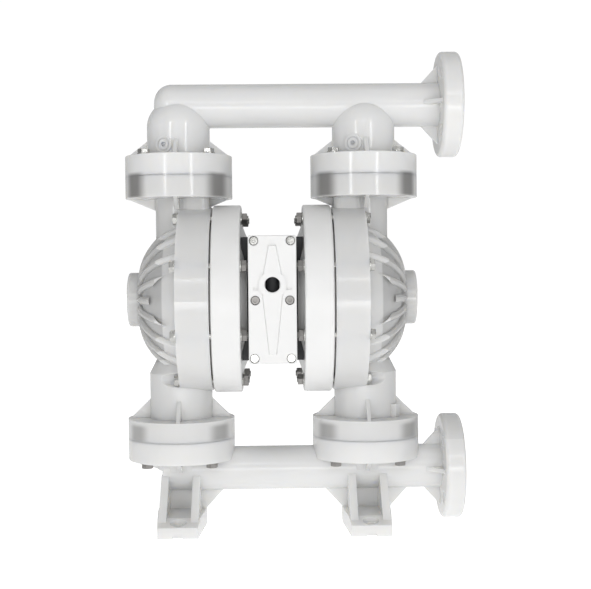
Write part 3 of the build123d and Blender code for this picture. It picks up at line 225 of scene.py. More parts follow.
class ShaderKit:
    """Shader effects that more than one finish uses."""

    def __init__(self) -> None:
        """Builds each effect once."""
        self.grain = self._grain()
        self.insert_shade = self._insert_shade()
        self.wall_shade = self._wall_shade()
        self.rings = self._rings()
        self.parting = self._parting()

    def _grain(self) -> bpy.types.NodeTree:
        """Moulded or worked surface: clouds of tone, and a fine uneven height.

        Returns:
            Group with outputs Tone, Height and Spots.
        """
        g = Group("surface_grain", "ShaderNodeTree", {"Fine": 900.0, "Broad": 18.0}, ("Tone", "Height", "Spots"))
        place = g.add("ShaderNodeTexCoord").outputs["Object"]
        broad, fine = (
            g.add("ShaderNodeTexNoise",
                  {"Vector": place, "Scale": g.given[scale], "Detail": detail, "Roughness": rough}).outputs[0]
            for scale, detail, rough in (("Broad", 3.0, 0.55), ("Fine", 2.0, 0.6)))
        spots = g.add("ShaderNodeTexVoronoi", {"Vector": place, "Scale": g.times(g.given["Broad"], 9.0)},
                      feature="F1")
        g.join(broad, g.out["Tone"])
        g.join(g.plus(fine, g.times(broad, 0.6)), g.out["Height"])
        g.join(g.ramp(spots.outputs["Distance"], 0.02, 0.10, 1.0, 0.0), g.out["Spots"])
        return g.tree

    def _insert_shade(self) -> bpy.types.NodeTree:
        """Painted shade where the dark inserts show dimly through the milky valve flanges.

        Returns:
            Group with output Mask, 1 next to an insert and 0 away from it.
        """
        g = Group(
            "insert_shadows", "ShaderNodeTree",
            {"Low": 0.52, "High": 0.55, "Near": 0.008, "Far": 0.029, "Edge": 0.008,
             "Across": 0.0600, "Along": 0.0500},
            ("Mask",))
        x, y, z = g.object_place()
        from_stack = g.math("ABSOLUTE", g.minus(g.math("ABSOLUTE", x), STACK_X))
        distance = g.length(g.minus(from_stack, g.given["Across"]),
                            g.minus(g.math("ABSOLUTE", y), g.given["Along"]))
        near = g.ramp(distance, g.given["Near"], g.given["Far"], 1.0, 0.0)
        edge = g.given["Edge"]
        above = g.ramp(z, g.minus(g.given["Low"], edge), g.given["Low"])
        below = g.ramp(z, g.given["High"], g.plus(g.given["High"], edge), 1.0, 0.0)
        g.join(g.times(near, g.times(above, below)), g.out["Mask"])
        return g.tree

    def _wall_shade(self) -> bpy.types.NodeTree:
        """Painted shade on a liquid chamber: a darker tone on the dome and the outlet neck, and a milder one over
        the whole chamber.

        Returns:
            Group with outputs Mask, 1 on the dome and less on the outlet neck and the end boss, and
            Chamber, 1 between the two valve joints and 0 on the manifolds.
        """
        g = Group(
            "painted_wall_shade", "ShaderNodeTree",
            {"Rim X": 0.1445, "Boss X": 0.2125, "Radius": 0.101, "Neck Low": 0.43, "Neck High": 0.515,
             "Neck Radius": 0.0385, "Boss": 0.5, "Neck": 0.45, "Lower Joint": 0.139, "Upper Joint": 0.5485},
            ("Mask", "Chamber"))
        x, y, z = g.object_place()
        away, soft = g.math("ABSOLUTE", x), 0.002
        around = g.length(y, g.minus(z, SHAFT_Z))
        past_rim = g.ramp(away, g.given["Rim X"], g.plus(g.given["Rim X"], soft))
        inside = g.ramp(around, g.minus(g.given["Radius"], soft), g.given["Radius"], 1.0, 0.0)
        on_boss = g.ramp(away, g.minus(g.given["Boss X"], 0.006), g.given["Boss X"])
        lighter = g.minus(1.0, g.times(on_boss, g.given["Boss"]))
        dome = g.times(g.times(past_rim, inside), lighter)
        stack_r = g.length(g.minus(away, STACK_X), y)
        in_neck = g.ramp(stack_r, g.given["Neck Radius"],
                         g.plus(g.given["Neck Radius"], soft), 1.0, 0.0)
        above = g.ramp(z, g.given["Neck Low"], g.plus(g.given["Neck Low"], 0.02))
        below = g.math("LESS_THAN", z, g.given["Neck High"])
        neck = g.times(g.times(in_neck, g.given["Neck"]), g.times(above, below))
        g.join(g.math("MAXIMUM", dome, neck), g.out["Mask"])
        chamber = g.times(g.math("GREATER_THAN", z, g.given["Lower Joint"]),
                         g.math("LESS_THAN", z, g.given["Upper Joint"]))
        g.join(chamber, g.out["Chamber"])
        return g.tree

    def _rings(self) -> bpy.types.NodeTree:
        """Concentric tool marks round an axis along X, such as a flange's gasket face.

        Returns:
            Group with output Height.
        """
        g = Group(
            "face_rings", "ShaderNodeTree",
            {"Axis Z": 0.661, "Pitch": 0.0016, "Face X": 0.295, "Inner": 0.026, "Outer": 0.049},
            ("Height",))
        x, y, z = g.object_place()
        radius = g.length(y, g.minus(z, g.given["Axis Z"]))
        wave = g.math("SINE", g.times(g.math("DIVIDE", radius, g.given["Pitch"]), 2 * math.pi))
        on_face = g.ramp(x, g.minus(g.given["Face X"], 0.001),
                         g.minus(g.given["Face X"], 0.0002))
        inside = g.times(g.math("GREATER_THAN", radius, g.given["Inner"]),
                        g.math("LESS_THAN", radius, g.given["Outer"]))
        g.join(g.times(wave, g.times(on_face, inside)), g.out["Height"])
        return g.tree

    def _parting(self) -> bpy.types.NodeTree:
        """Fine raised line where the two halves of a mould met, in the plane y 0.

        Returns:
            Group with output Height.
        """
        g = Group("parting_line", "ShaderNodeTree", {"Width": 0.0007}, ("Height",))
        y = g.object_place()[1]
        line = g.ramp(g.math("ABSOLUTE", y), 0.0, g.given["Width"], 1.0, 0.0)
        g.join(line, g.out["Height"])
        return g.tree


@dataclass(frozen=True)
class Finish:
    """A moulded or metal finish with uneven tone, grain and small specks.

    The colour moves between two tones, and the grain drives the roughness and the bump.
    """

    slot: Slot
    colour: Colour
    second: Colour
    roughness: float = 0.4
    rough_spread: float = 0.12
    metallic: float = 0.0
    fine: float = 900.0
    broad: float = 18.0
    bump: float = 0.12
    bump_depth: float = 0.0002
    glow: float = 0.0
    glow_depth: float = 0.02
    spots: float = 0.0
    # Painted shade on the liquid chambers and round the flange inserts.
    painted_shade: bool = False
    face_rings: bool = False
    parting: float = 0.0

    def build(self, kit: ShaderKit) -> bpy.types.Material:
        """Makes the material.

        Args:
            kit: the shared shader effects.

        Returns:
            The finished material.
        """
        material = bpy.data.materials.new(self.slot.value)
        material.use_nodes = True
        g = Graph(material.node_tree)
        shader = next(n for n in material.node_tree.nodes if n.type == "BSDF_PRINCIPLED")
        grain = g.add("ShaderNodeGroup", node_tree=kit.grain)
        g.feed(grain.inputs["Fine"], self.fine)
        g.feed(grain.inputs["Broad"], self.broad)
        tone = g.ramp(grain.outputs["Tone"], 0.3, 0.7)
        colour = g.mix(tone, (*self.colour, 1), (*self.second, 1))
        if self.spots:
            speck = tuple(SPECK_TONE * c for c in self.colour)
            colour = g.mix(g.times(grain.outputs["Spots"], self.spots), colour, (*speck, 1))
        height = grain.outputs["Height"]
        # Painted shade on the liquid chambers and round the flange inserts.
        if self.painted_shade:
            # Painted shade: each wall mask darkens the plastic towards a share of its own tone.
            shade_masks = g.add("ShaderNodeGroup", node_tree=kit.wall_shade)
            for output, strength, share in PAINTED_WALL_SHADE:
                darker = tuple(share * c for c in self.colour)
                colour = g.mix(g.times(shade_masks.outputs[output], strength), colour, (*darker, 1))
            # Painted shade round the flange inserts.
            for low, high, strength in INSERT_SHADE_BANDS:
                shade = g.add("ShaderNodeGroup", node_tree=kit.insert_shade)
                g.feed(shade.inputs["Low"], low)
                g.feed(shade.inputs["High"], high)
                colour = g.mix(g.times(shade.outputs["Mask"], strength), colour, (*INSERT_SHADE_TONE, 1))
        if self.face_rings:
            for axis_z in PORT_AXES_Z:
                rings = g.add("ShaderNodeGroup", node_tree=kit.rings)
                g.feed(rings.inputs["Axis Z"], axis_z)
                height = g.plus(height, g.times(rings.outputs["Height"], RING_HEIGHT))
        if self.parting:
            line = g.add("ShaderNodeGroup", node_tree=kit.parting)
            height = g.plus(height, g.times(line.outputs["Height"], self.parting))
        g.join(colour, shader.inputs["Base Color"])
        low, high = self.roughness - self.rough_spread, self.roughness + self.rough_spread
        g.join(g.ramp(grain.outputs["Tone"], 0.25, 0.75, max(low, 0.05), min(high, 1.0)),
               shader.inputs["Roughness"])
        bump = g.add("ShaderNodeBump", {"Strength": self.bump, "Distance": self.bump_depth, "Height": height})
        g.join(bump.outputs[0], shader.inputs["Normal"])
        shader.inputs["Metallic"].default_value = self.metallic
        if self.glow:
            shader.inputs["Subsurface Weight"].default_value = self.glow
            shader.inputs["Subsurface Radius"].default_value = (1.0, 0.95, 0.85)
            shader.inputs["Subsurface Scale"].default_value = self.glow_depth
        return material


FINISHES = (
    Finish(Slot.NATURAL, (0.79, 0.79, 0.785), (0.82, 0.82, 0.815), roughness=0.15, rough_spread=0.02,
           glow=0.85, glow_depth=0.012, broad=7.0, bump=0.05, painted_shade=True, face_rings=True, parting=1.6),
    Finish(Slot.WHITE, (0.83, 0.83, 0.825), (0.86, 0.86, 0.855), roughness=0.38, rough_spread=0.05,
           fine=1400.0, broad=11.0, bump=0.08, glow=0.10, glow_depth=0.004),
    Finish(Slot.DARK, (0.020, 0.021, 0.024), (0.036, 0.037, 0.040), roughness=0.5, fine=1600.0, bump=0.25),
    Finish(Slot.RUBBER, (0.018, 0.018, 0.018), (0.035, 0.034, 0.033), roughness=0.75, fine=1800.0, bump=0.3),
    Finish(Slot.DIAPHRAGM, (0.78, 0.77, 0.74), (0.84, 0.83, 0.80), roughness=0.45),
    Finish(Slot.BALL, (0.80, 0.80, 0.78), (0.85, 0.85, 0.83), roughness=0.35),
    Finish(Slot.PISTON, (0.62, 0.62, 0.60), (0.68, 0.68, 0.66), roughness=0.4),
    Finish(Slot.BRASS, (0.60, 0.44, 0.20), (0.66, 0.50, 0.26), roughness=0.3, metallic=1.0),
    Finish(Slot.MUFFLER, (0.045, 0.046, 0.05), (0.075, 0.076, 0.08), roughness=0.6, fine=1500.0, bump=0.35),
    Finish(Slot.INSERT, (0.30, 0.29, 0.28), (0.38, 0.37, 0.36), roughness=0.45, metallic=1.0),
    Finish(Slot.STAINLESS, (0.52, 0.52, 0.50), (0.66, 0.66, 0.64), roughness=0.27, rough_spread=0.1,
           metallic=1.0, fine=1100.0, broad=60.0, bump=0.15, spots=0.35),
)


class Wardrobe:
    """All finishes, by slot."""

    def __init__(self) -> None:
        """Builds every material once and reads which node has which slot."""
        kit = ShaderKit()
        self.materials = {finish.slot: finish.build(kit) for finish in FINISHES}
        self.slots = {entry["node"]: Slot(entry["material_slot"]) for entry in frame["record"]["subparts"]}
        self.dressed: set[str] = set()

    def dress(self, obj: bpy.types.Object, slot: Slot) -> None:
        """Gives an object one finish."""
        obj.data.materials.clear()
        obj.data.materials.append(self.materials[slot])

    def dress_node(self, name: str) -> None:
        """Gives one frame node the finish of its slot.

        Args:
            name: name of the node.
        """
        obj = frame["nodes"][name]
        finish = self.materials[self.slots[name]]
        if not obj.material_slots:
            obj.data.materials.append(finish)
        for item in obj.material_slots:
            item.material = finish
        self.dressed.add(name)


class PieceMaker:
    """Turns geometry node results into plain meshes that ride on a body."""

    def __init__(self, wardrobe: Wardrobe) -> None:
        """Keeps the finishes and counts the pieces."""
        self.wardrobe = wardrobe
        self.made = 0

    def bake(self, name: str, tree: bpy.types.NodeTree, sizes: dict[str, object], slot: Slot,
             place: Matrix) -> bpy.types.Object:
        """Runs a tree once and keeps its result.

        Args:
            name: name of the piece.
            tree: the geometry node tree.
            sizes: input name to value.
            slot: finish of the piece.
            place: where the result goes, in the row frame.

        Returns:
            The plain mesh object, at the origin.
        """
        carrier = bpy.data.objects.new(name + "_carrier", bpy.data.meshes.new(name + "_seed"))
        bpy.context.scene.collection.objects.link(carrier)
        modifier = carrier.modifiers.new("build", "NODES")
        modifier.node_group = tree
        sockets = {item.name: item.identifier for item in tree.interface.items_tree
                   if item.item_type == "SOCKET" and item.in_out == "INPUT"}
        for label, value in sizes.items():
            modifier[sockets[label]] = value
        modifier[sockets["Finish"]] = self.wardrobe.materials[slot]
        graph = bpy.context.evaluated_depsgraph_get()
        mesh = bpy.data.meshes.new_from_object(carrier.evaluated_get(graph))
        mesh.transform(place)
        mesh.name = name
        piece = bpy.data.objects.new(name, mesh)
        bpy.context.scene.collection.objects.link(piece)
        carrier.modifiers.remove(modifier)
        bpy.data.objects.remove(carrier)
        return piece

    def settle(self, piece: bpy.types.Object, body: str = HOUSING,
               nodes: Sequence[str] = ()) -> None:
        """Hands a finished piece to the frame.

        Args:
            piece: the plain mesh object.
            body: the body it rides on.
            nodes: frame nodes it stands for.
        """
        if nodes:
            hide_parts(*nodes)
        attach(piece, body)
        self.made += 1
        LOG.info("piece %s: %d faces", piece.name, len(piece.data.polygons))


class Pattern(Enum):
    """How a row of fasteners is laid out."""

    CIRCLE = "circle"
    GRID = "grid"
    PAIR = "pair"


class PieceGroup(Group):
    """A geometry group that makes small parts, each along +Z, and ends in a plain dressed mesh."""

    def __init__(self, name: str, sizes: dict[str, object], pattern: Pattern | None = None) -> None:
        """Starts the group.

        Args:
            name: name of the group.
            sizes: input name to default value.
            pattern: how the parts are laid out, if they repeat on a pattern.
        """
        layouts = {
            Pattern.CIRCLE: {"Count": 8, "Circle": 0.1345, "Start": 0.0},
            Pattern.GRID: {"Span X": 0.054, "Span Y": 0.1},
            Pattern.PAIR: {"Span X": 0.0508},
        }
        inputs = {**layouts.get(pattern, {}), **sizes, "Finish": "NodeSocketMaterial"}
        super().__init__(name, "GeometryNodeTree", inputs, ("Geometry",), "NodeSocketGeometry")
        self.pattern = pattern

    def places(self) -> bpy.types.NodeSocket:
        """Points of the pattern: a circle, the corners of a grid, or the ends of a line."""
        given = self.given
        if self.pattern is Pattern.GRID:
            sizes = {"Size X": given["Span X"], "Size Y": given["Span Y"], "Vertices X": 2, "Vertices Y": 2}
            return self.add("GeometryNodeMeshGrid", sizes).outputs["Mesh"]
        if self.pattern is Pattern.PAIR:
            start, offset = (self.vector(self.times(given["Span X"], share)) for share in (-0.5, 1.0))
            return self.row(2, offset, start)
        circle = self.add("GeometryNodeMeshCircle", {"Vertices": given["Count"], "Radius": given["Circle"]})
        return self.moved(circle.outputs[0], "Rotation", self.vector(z=given["Start"]))

    def row(self, count: object, offset: object, start: object = (0, 0, 0)) -> bpy.types.NodeSocket:
        """Points in a straight row."""
        inputs = {"Count": count, "Start Location": start, "Offset": offset}
        return self.add("GeometryNodeMeshLine", inputs).outputs[0]

    def copies(self, points: bpy.types.NodeSocket, part: bpy.types.NodeSocket,
               turn: object = (0, 0, 0)) -> bpy.types.NodeSocket:
        """One part on every point."""
        inputs = {"Points": points, "Instance": part, "Rotation": turn}
        return self.add("GeometryNodeInstanceOnPoints", inputs).outputs[0]

    def spread(self, parts: Sequence[bpy.types.NodeSocket], seed: int) -> bpy.types.NodeTree:
        """Puts joined parts on every place, each turned by chance.

        Args:
            parts: geometry of one fastener.
            seed: seed of the turns.

        Returns:
            The finished tree.
        """
        chance = self.add("FunctionNodeRandomValue", data_type="FLOAT_VECTOR")
        for name, value in (("Min", (0, 0, 0)), ("Max", (0, 0, math.pi)), ("Seed", seed)):
            self.feed(chance.inputs[name], value)
        return self.end(self.copies(self.places(), self.joined(parts), chance.outputs[0]))

    def joined(self, parts: Sequence[bpy.types.NodeSocket]) -> bpy.types.NodeSocket:
        """Joins geometry."""
        joined = self.add("GeometryNodeJoinGeometry")
        for part in parts:
            self.join(part, joined.inputs[0])
        return joined.outputs[0]

    def end(self, geometry: bpy.types.NodeSocket) -> bpy.types.NodeTree:
        """Realizes instances, sets the material and gives back the finished tree."""
        real = self.add("GeometryNodeRealizeInstances", {0: geometry})
        dressed = self.add("GeometryNodeSetMaterial",
                           {"Geometry": real.outputs[0], "Material": self.given["Finish"]})
        self.join(dressed.outputs[0], self.out[0])
        return self.tree

    def moved(self, geometry: bpy.types.NodeSocket, change: str, value: object) -> bpy.types.NodeSocket:
        """Geometry with one change of its Translation, Rotation or Scale."""
        return self.add("GeometryNodeTransform", {"Geometry": geometry, change: value}).outputs[0]

    def cylinder(self, sides: int, radius: object, depth: object, low: object,
                 rows: object = 1) -> bpy.types.NodeSocket:
        """Upright cylinder.

        Args:
            sides: number of its sides.
            radius: its radius.
            depth: its height.
            low: where its lower end is.
            rows: divisions along it.

        Returns:
            Its geometry.
        """
        sizes = {"Vertices": sides, "Side Segments": rows, "Radius": radius, "Depth": depth}
        body = self.add("GeometryNodeMeshCylinder", sizes).outputs["Mesh"]
        return self.moved(body, "Translation", self.vector(z=self.plus(low, self.times(depth, 0.5))))

    def cone(self, sides: int, radius: object, top: object, depth: object, low: object) -> bpy.types.NodeSocket:
        """Upright cone from a lower radius to an upper one."""
        sizes = {"Vertices": sides, "Radius Bottom": radius, "Radius Top": top, "Depth": depth}
        body = self.add("GeometryNodeMeshCone", sizes).outputs["Mesh"]
        return self.moved(body, "Translation", self.vector(z=low))

    def threaded(self, radius: object, depth: object, low: object, pitch: float) -> bpy.types.NodeSocket:
        """Threaded rod: rows that go in and out with each pitch.

        Args:
            radius: outer radius.
            depth: its length.
            low: its lower end.
            pitch: distance from crest to crest.

        Returns:
            Its geometry.
        """
        rows = self.math("MAXIMUM", self.math("ROUND", self.math("DIVIDE", depth, pitch / 2)), 2.0)
        rod = self.cylinder(16, radius, depth, low, rows)
        x, y, z = self.vertex()
        wave = self.math("PINGPONG", self.minus(z, low), pitch / 2)
        return self.shrunk(rod, x, y, self.times(wave, -0.13 * 2 / pitch))

    def vertex(self) -> Sequence[bpy.types.NodeSocket]:
        """X, Y and Z of each vertex."""
        return self.parts(self.add("GeometryNodeInputPosition").outputs[0])

    def shrunk(self, geometry: bpy.types.NodeSocket, x: bpy.types.NodeSocket, y: bpy.types.NodeSocket,
               share: bpy.types.NodeSocket) -> bpy.types.NodeSocket:
        """Moves vertices across the Z axis by a share of their distance from it, negative towards it."""
        offset = self.vector(self.times(x, share), self.times(y, share))
        return self.add("GeometryNodeSetPosition", {"Geometry": geometry, "Offset": offset}).outputs[0]

    def loop(self, radius: object, bead: object, sides: int) -> bpy.types.NodeSocket:
        """Closed ring of round section.

        Args:
            radius: radius of its centre line.
            bead: radius of its section.
            sides: sides of the section.

        Returns:
            Its geometry.
        """
        path, section = (
            self.add("GeometryNodeCurvePrimitiveCircle", {"Resolution": steps, "Radius": size}).outputs[0]
            for steps, size in ((48, radius), (sides, bead)))
        return self.add("GeometryNodeCurveToMesh", {0: path, 1: section}).outputs[0]


@dataclass
class FastenerTrees:
    """Geometry node trees of the pump's fasteners and small repeated details.

    Each fastener points along +Z from its seat.
    """

    seed: int = 7
    corner_edge: float = 0.93

    def __post_init__(self) -> None:
        """Builds the trees."""
        self.bolt = self._bolt(Pattern.CIRCLE)
        self.plate_bolt = self._bolt(Pattern.GRID)
        self.washer = self._washer()
        self.nut = self._nut()
        self.cap_screw = self._cap_screw(Pattern.GRID)
        self.cap_screw_pair = self._cap_screw(Pattern.PAIR)
        self.thread_rings = self._thread_rings()
        self.boss_face = self._boss_face()
        self.slats = self._slats()

    def _bolt(self, pattern: Pattern) -> bpy.types.NodeTree:
        """Hexagon bolt: chamfered head with its bearing ring, plain shank and threaded end.

        Args:
            pattern: how the bolts are laid out.

        Returns:
            The tree.
        """
        g = PieceGroup(f"hex_bolts_{pattern.value}",
                       {"Width": 0.016, "Height": 0.0064, "Shank": 0.005, "Length": 0.1, "Thread": 0.02}, pattern)
        corner = g.math("DIVIDE", g.given["Width"], math.sqrt(3))
        height, shank, length, thread = (g.given[name] for name in ("Height", "Shank", "Length", "Thread"))
        bevel = g.times(height, 0.12)
        edge = g.times(corner, self.corner_edge)
        plain = g.minus(length, thread)
        return g.spread([
            g.cylinder(24, g.times(corner, 0.84), bevel, 0.0),
            g.cylinder(6, corner, g.minus(height, g.times(bevel, 2.2)), bevel),
            g.cone(6, corner, edge, bevel, g.minus(height, g.times(bevel, 1.2))),
            g.cylinder(24, g.times(corner, 0.80), g.times(bevel, 0.9), g.minus(height, g.times(bevel, 0.9))),
            g.cylinder(16, shank, plain, g.times(plain, -1.0)),
            g.threaded(shank, thread, g.times(length, -1.0), 0.0015),
        ], self.seed)

    def _washer(self) -> bpy.types.NodeTree:
        """Flat washer with softened edges."""
        g = PieceGroup("washers", {"Radius": 0.01, "Thick": 0.002}, Pattern.CIRCLE)
        radius, thick = g.given["Radius"], g.given["Thick"]
        lip = g.times(thick, 0.2)
        inner = g.minus(radius, lip)
        return g.spread([
            g.cone(32, inner, radius, lip, 0.0),
            g.cylinder(32, radius, g.minus(thick, g.times(lip, 2.0)), lip),
            g.cone(32, radius, inner, lip, g.minus(thick, lip)),
        ], self.seed)

    def _nut(self) -> bpy.types.NodeTree:
        """Hexagon nut, chamfered on both ends."""
        g = PieceGroup("hex_nuts", {"Width": 0.016, "Height": 0.008}, Pattern.CIRCLE)
        corner = g.math("DIVIDE", g.given["Width"], math.sqrt(3))
        height = g.given["Height"]
        bevel = g.times(height, 0.1)
        edge = g.times(corner, self.corner_edge)
        return g.spread([
            g.cone(6, edge, corner, bevel, 0.0),
            g.cylinder(6, corner, g.minus(height, g.times(bevel, 2.0)), bevel),
            g.cone(6, corner, edge, bevel, g.minus(height, bevel)),
        ], self.seed)

    def _cap_screw(self, pattern: Pattern) -> bpy.types.NodeTree:
        """Cap screw with a knurled head, a hexagon socket and a threaded shank. The head ends at z 0.

        Args:
            pattern: how the screws are laid out.

        Returns:
            The tree.
        """
        g = PieceGroup(
            f"cap_screws_{pattern.value}",
            {"Radius": 0.0065, "Height": 0.008, "Socket": 0.006, "Deep": 0.004, "Shank": 0.004,
             "Length": 0.07, "Thread": 0.022, "Teeth": 24.0}, pattern)
        shank, length, thread, deep = (g.given[name] for name in ("Shank", "Length", "Thread", "Deep"))
        below = g.times(g.given["Height"], -1.0)
        head = g.cylinder(48, g.given["Radius"], g.given["Height"], below, 8)
        x, y, z = g.vertex()
        tooth = g.math("COSINE", g.times(g.math("ARCTAN2", y, x), g.given["Teeth"]))
        knurl = g.times(g.minus(tooth, 1.0), 0.018)
        top = g.times(g.math("GREATER_THAN", z, -0.0001), -0.10)
        head = g.shrunk(head, x, y, g.plus(knurl, top))
        key_r = g.math("DIVIDE", g.given["Socket"], math.sqrt(3))
        key = g.cylinder(6, key_r, g.times(deep, 2.0), g.times(deep, -1.0))
        cut = g.add("GeometryNodeMeshBoolean", operation="DIFFERENCE", solver="EXACT")
        g.join(head, cut.inputs["Mesh 1"])
        g.join(key, cut.inputs["Mesh 2"])
        plain = g.minus(length, thread)
        return g.spread([
            cut.outputs[0],
            g.cylinder(16, shank, plain, g.minus(below, plain)),
            g.threaded(shank, thread, g.minus(below, length), 0.00125),
        ], self.seed)

    def _thread_rings(self) -> bpy.types.NodeTree:
        """Crests of a pipe thread inside a bore that opens at z 0."""
        g = PieceGroup("pipe_thread", {"Radius": 0.0121, "Crest": 0.0007, "Turns": 11, "Pitch": 0.0018})
        step, start = (g.vector(z=g.times(g.given["Pitch"], share)) for share in (-1.0, -1.2))
        crest = g.loop(g.given["Radius"], g.given["Crest"], 6)
        return g.end(g.copies(g.row(g.given["Turns"], step, start), crest))

    def _boss_face(self) -> bpy.types.NodeTree:
        """Raised ring and centre pip of a moulded side boss, on a face at z 0."""
        g = PieceGroup("boss_face", {"Ring": 0.0095, "Bead": 0.0010, "Pip": 0.0032, "Rise": 0.0012})
        dome = g.add("GeometryNodeMeshUVSphere", {"Segments": 24, "Rings": 12, "Radius": g.given["Pip"]})
        squash = g.vector(1.0, 1.0, g.math("DIVIDE", g.given["Rise"], g.given["Pip"]))
        ring = g.loop(g.given["Ring"], g.given["Bead"], 12)
        return g.end(g.joined([ring, g.moved(dome.outputs[0], "Scale", squash)]))

    def _slats(self) -> bpy.types.NodeTree:
        """Rows of small upright slats round an axis, in the grooves of the muffler."""
        g = PieceGroup("muffler_slats", {"Count": 40, "Radius": 0.0316, "Slat": (0.003, 0.0022, 0.0059),
                                         "Rows": 6, "Pitch": 0.01283})
        circle = g.add("GeometryNodeMeshCircle", {"Vertices": g.given["Count"], "Radius": g.given["Radius"]})
        slat = g.add("GeometryNodeMeshCube", {"Size": g.given["Slat"]}).outputs["Mesh"]
        step = g.math("DIVIDE", 2 * math.pi, g.given["Count"])
        turn = g.vector(z=g.times(g.add("GeometryNodeInputIndex").outputs[0], step))
        ring = g.copies(circle.outputs[0], slat, turn)
        return g.end(g.copies(g.row(g.given["Rows"], g.vector(z=g.given["Pitch"])), ring))


def join_pieces(name: str, pieces: Sequence[bpy.types.Object]) -> bpy.types.Object:
    """Joins plain pieces at the origin into one.

    Args:
        name: name of the result.
        pieces: objects whose places are in their meshes.

    Returns:
        The joined object.
    """
    for obj in bpy.context.selected_objects:
        obj.select_set(False)
    for piece in pieces:
        piece.select_set(True)
    bpy.context.view_layer.objects.active = pieces[0]
    bpy.ops.object.join()
    pieces[0].name = name
    pieces[0].data.name = name
    return pieces[0]


def turned_ring(name: str, profile: Sequence[tuple[float, float]], steps: int) -> bpy.types.Object:
    """Turns a closed profile round the shaft's axis.

    Args:
        name: name of the piece.
        profile: places along X with their radius, in order round the section.
        steps: number of steps round the axis.

    Returns:
        The closed ring, its faces pointing outwards.
    """
    build = bmesh.new()
    rows = []
    for k in range(steps):
        angle = 2 * math.pi * k / steps
        rows.append([build.verts.new((x, r * math.cos(angle), SHAFT_Z + r * math.sin(angle))) for x, r in profile])
    for row, following in zip(rows, rows[1:] + rows[:1]):
        for k in range(len(profile)):
            after = (k + 1) % len(profile)
            build.faces.new((row[k], row[after], following[after], following[k]))
    bmesh.ops.recalc_face_normals(build, faces=build.faces)
    mesh = bpy.data.meshes.new(name)
    build.to_mesh(mesh)
    build.free()
    ring = bpy.data.objects.new(name, mesh)
    bpy.context.scene.collection.objects.link(ring)
    return ring


@dataclass
class SubAssembly:
    """A group of frame nodes that are dressed together, with the pieces added to them."""

    nodes: tuple[str, ...] = ()

    def dress(self, wardrobe: Wardrobe) -> None:
        """Gives its nodes their finishes.

        Args:
            wardrobe: all finishes.
        """
        for name in self.nodes:
            wardrobe.dress_node(name)
        LOG.info("%s: %d nodes dressed", type(self).__name__, len(self.nodes))

    def build(self, maker: PieceMaker, trees: FastenerTrees) -> None:
        """Adds its own pieces. A plain sub-assembly has none."""


def both_sides(*names: str) -> tuple[str, ...]:
    """Node names of the left and the right twin of each name."""
    return tuple(f"{name}_{side}" for name in names for side in ("left", "right"))


@dataclass
class Manifolds(SubAssembly):
    """Discharge and suction manifolds, with the marks on the discharge legs' side bosses."""

    nodes: tuple[str, ...] = ("discharge_manifold", "suction_manifold")
    boss_reach: float = 0.05175
    boss_angle: float = math.radians(-112.5)
    boss_z: float = 0.5975
    ring: float = 0.0092
    bead: float = 0.0004
    pip: float = 0.0034
    rise: float = 0.0006

    def build(self, maker: PieceMaker, trees: FastenerTrees) -> None:
        """Makes the ring and pip of both side bosses.

        Args:
            maker: makes plain pieces.
            trees: the trees of repeated details.
        """
        outward = Vector((math.cos(self.boss_angle), math.sin(self.boss_angle), 0))
        turn = outward.to_track_quat("Z", "Y").to_matrix().to_4x4()
        faces = []
        for k, x in enumerate((-STACK_X, STACK_X)):
            centre = Vector((x, 0, self.boss_z)) + outward * self.boss_reach
            faces.append(maker.bake(
                f"side_boss_{k}", trees.boss_face,
                {"Ring": self.ring, "Bead": self.bead, "Pip": self.pip, "Rise": self.rise},
                Slot.NATURAL, Matrix.Translation(centre) @ turn))
        maker.settle(join_pieces("side_boss_marks", faces))


@dataclass
class LiquidEnds(SubAssembly):
    """Liquid chambers with the threaded inserts in their flanges."""

    nodes: tuple[str, ...] = both_sides("liquid_chamber") + ("discharge_flange_inserts", "suction_flange_inserts")


@dataclass
class BallValves(SubAssembly):
    """Balls, seats and seals of the four check valves."""

    nodes: tuple[str, ...] = both_sides(
        "discharge_ball", "suction_ball", "discharge_seat", "suction_seat"
    ) + ("discharge_seat_seals", "suction_seat_seals")


@dataclass
class DiaphragmGroup(SubAssembly):
    """Diaphragms, their pistons and the shaft between them."""

    nodes: tuple[str, ...] = both_sides("diaphragm", "inner_piston", "outer_piston") + ("diaphragm_shaft",)


@dataclass
class AirChambers(SubAssembly):
    """White air chambers with their gaskets and hub screws, and the cone round each hub."""

    nodes: tuple[str, ...] = both_sides("air_chamber", "air_chamber_gasket", "hub_screws")
    cone_back_x: float = 0.0485
    cone_front_x: float = 0.0385
    cone_outer_r: float = 0.119
    cone_inner_r: float = 0.096
    cone_edge: float = 0.0015
    core_r: float = 0.088
    steps: int = 96

    def build(self, maker: PieceMaker, trees: FastenerTrees) -> None:
        """Turns the cone that leads from the bolting rim to the hub, on both sides.

        Args:
            maker: makes plain pieces.
            trees: the trees of repeated details, not needed here.
        """
        profile = (
            (self.cone_back_x, self.core_r),
            (self.cone_back_x, self.cone_outer_r),
            (self.cone_back_x - 0.2 * self.cone_edge, self.cone_outer_r),
            (self.cone_front_x + self.cone_edge, self.cone_inner_r + 1.5 * self.cone_edge),
            (self.cone_front_x, self.cone_inner_r),
            (self.cone_front_x, self.core_r),
        )
        for side, sign in (("right", 1), ("left", -1)):
            cone = turned_ring(f"hub_cone_{side}", [(sign * x, r) for x, r in profile], self.steps)
            maker.wardrobe.dress(cone, Slot.WHITE)
            maker.settle(cone)


@dataclass
class CentreSection(SubAssembly):
    """Dark centre block with the shaft's guides and the pilot valve."""

    nodes: tuple[str, ...] = ("centre_block", "shaft_bushings", "shaft_seals", "pilot_sleeve", "pilot_spool")


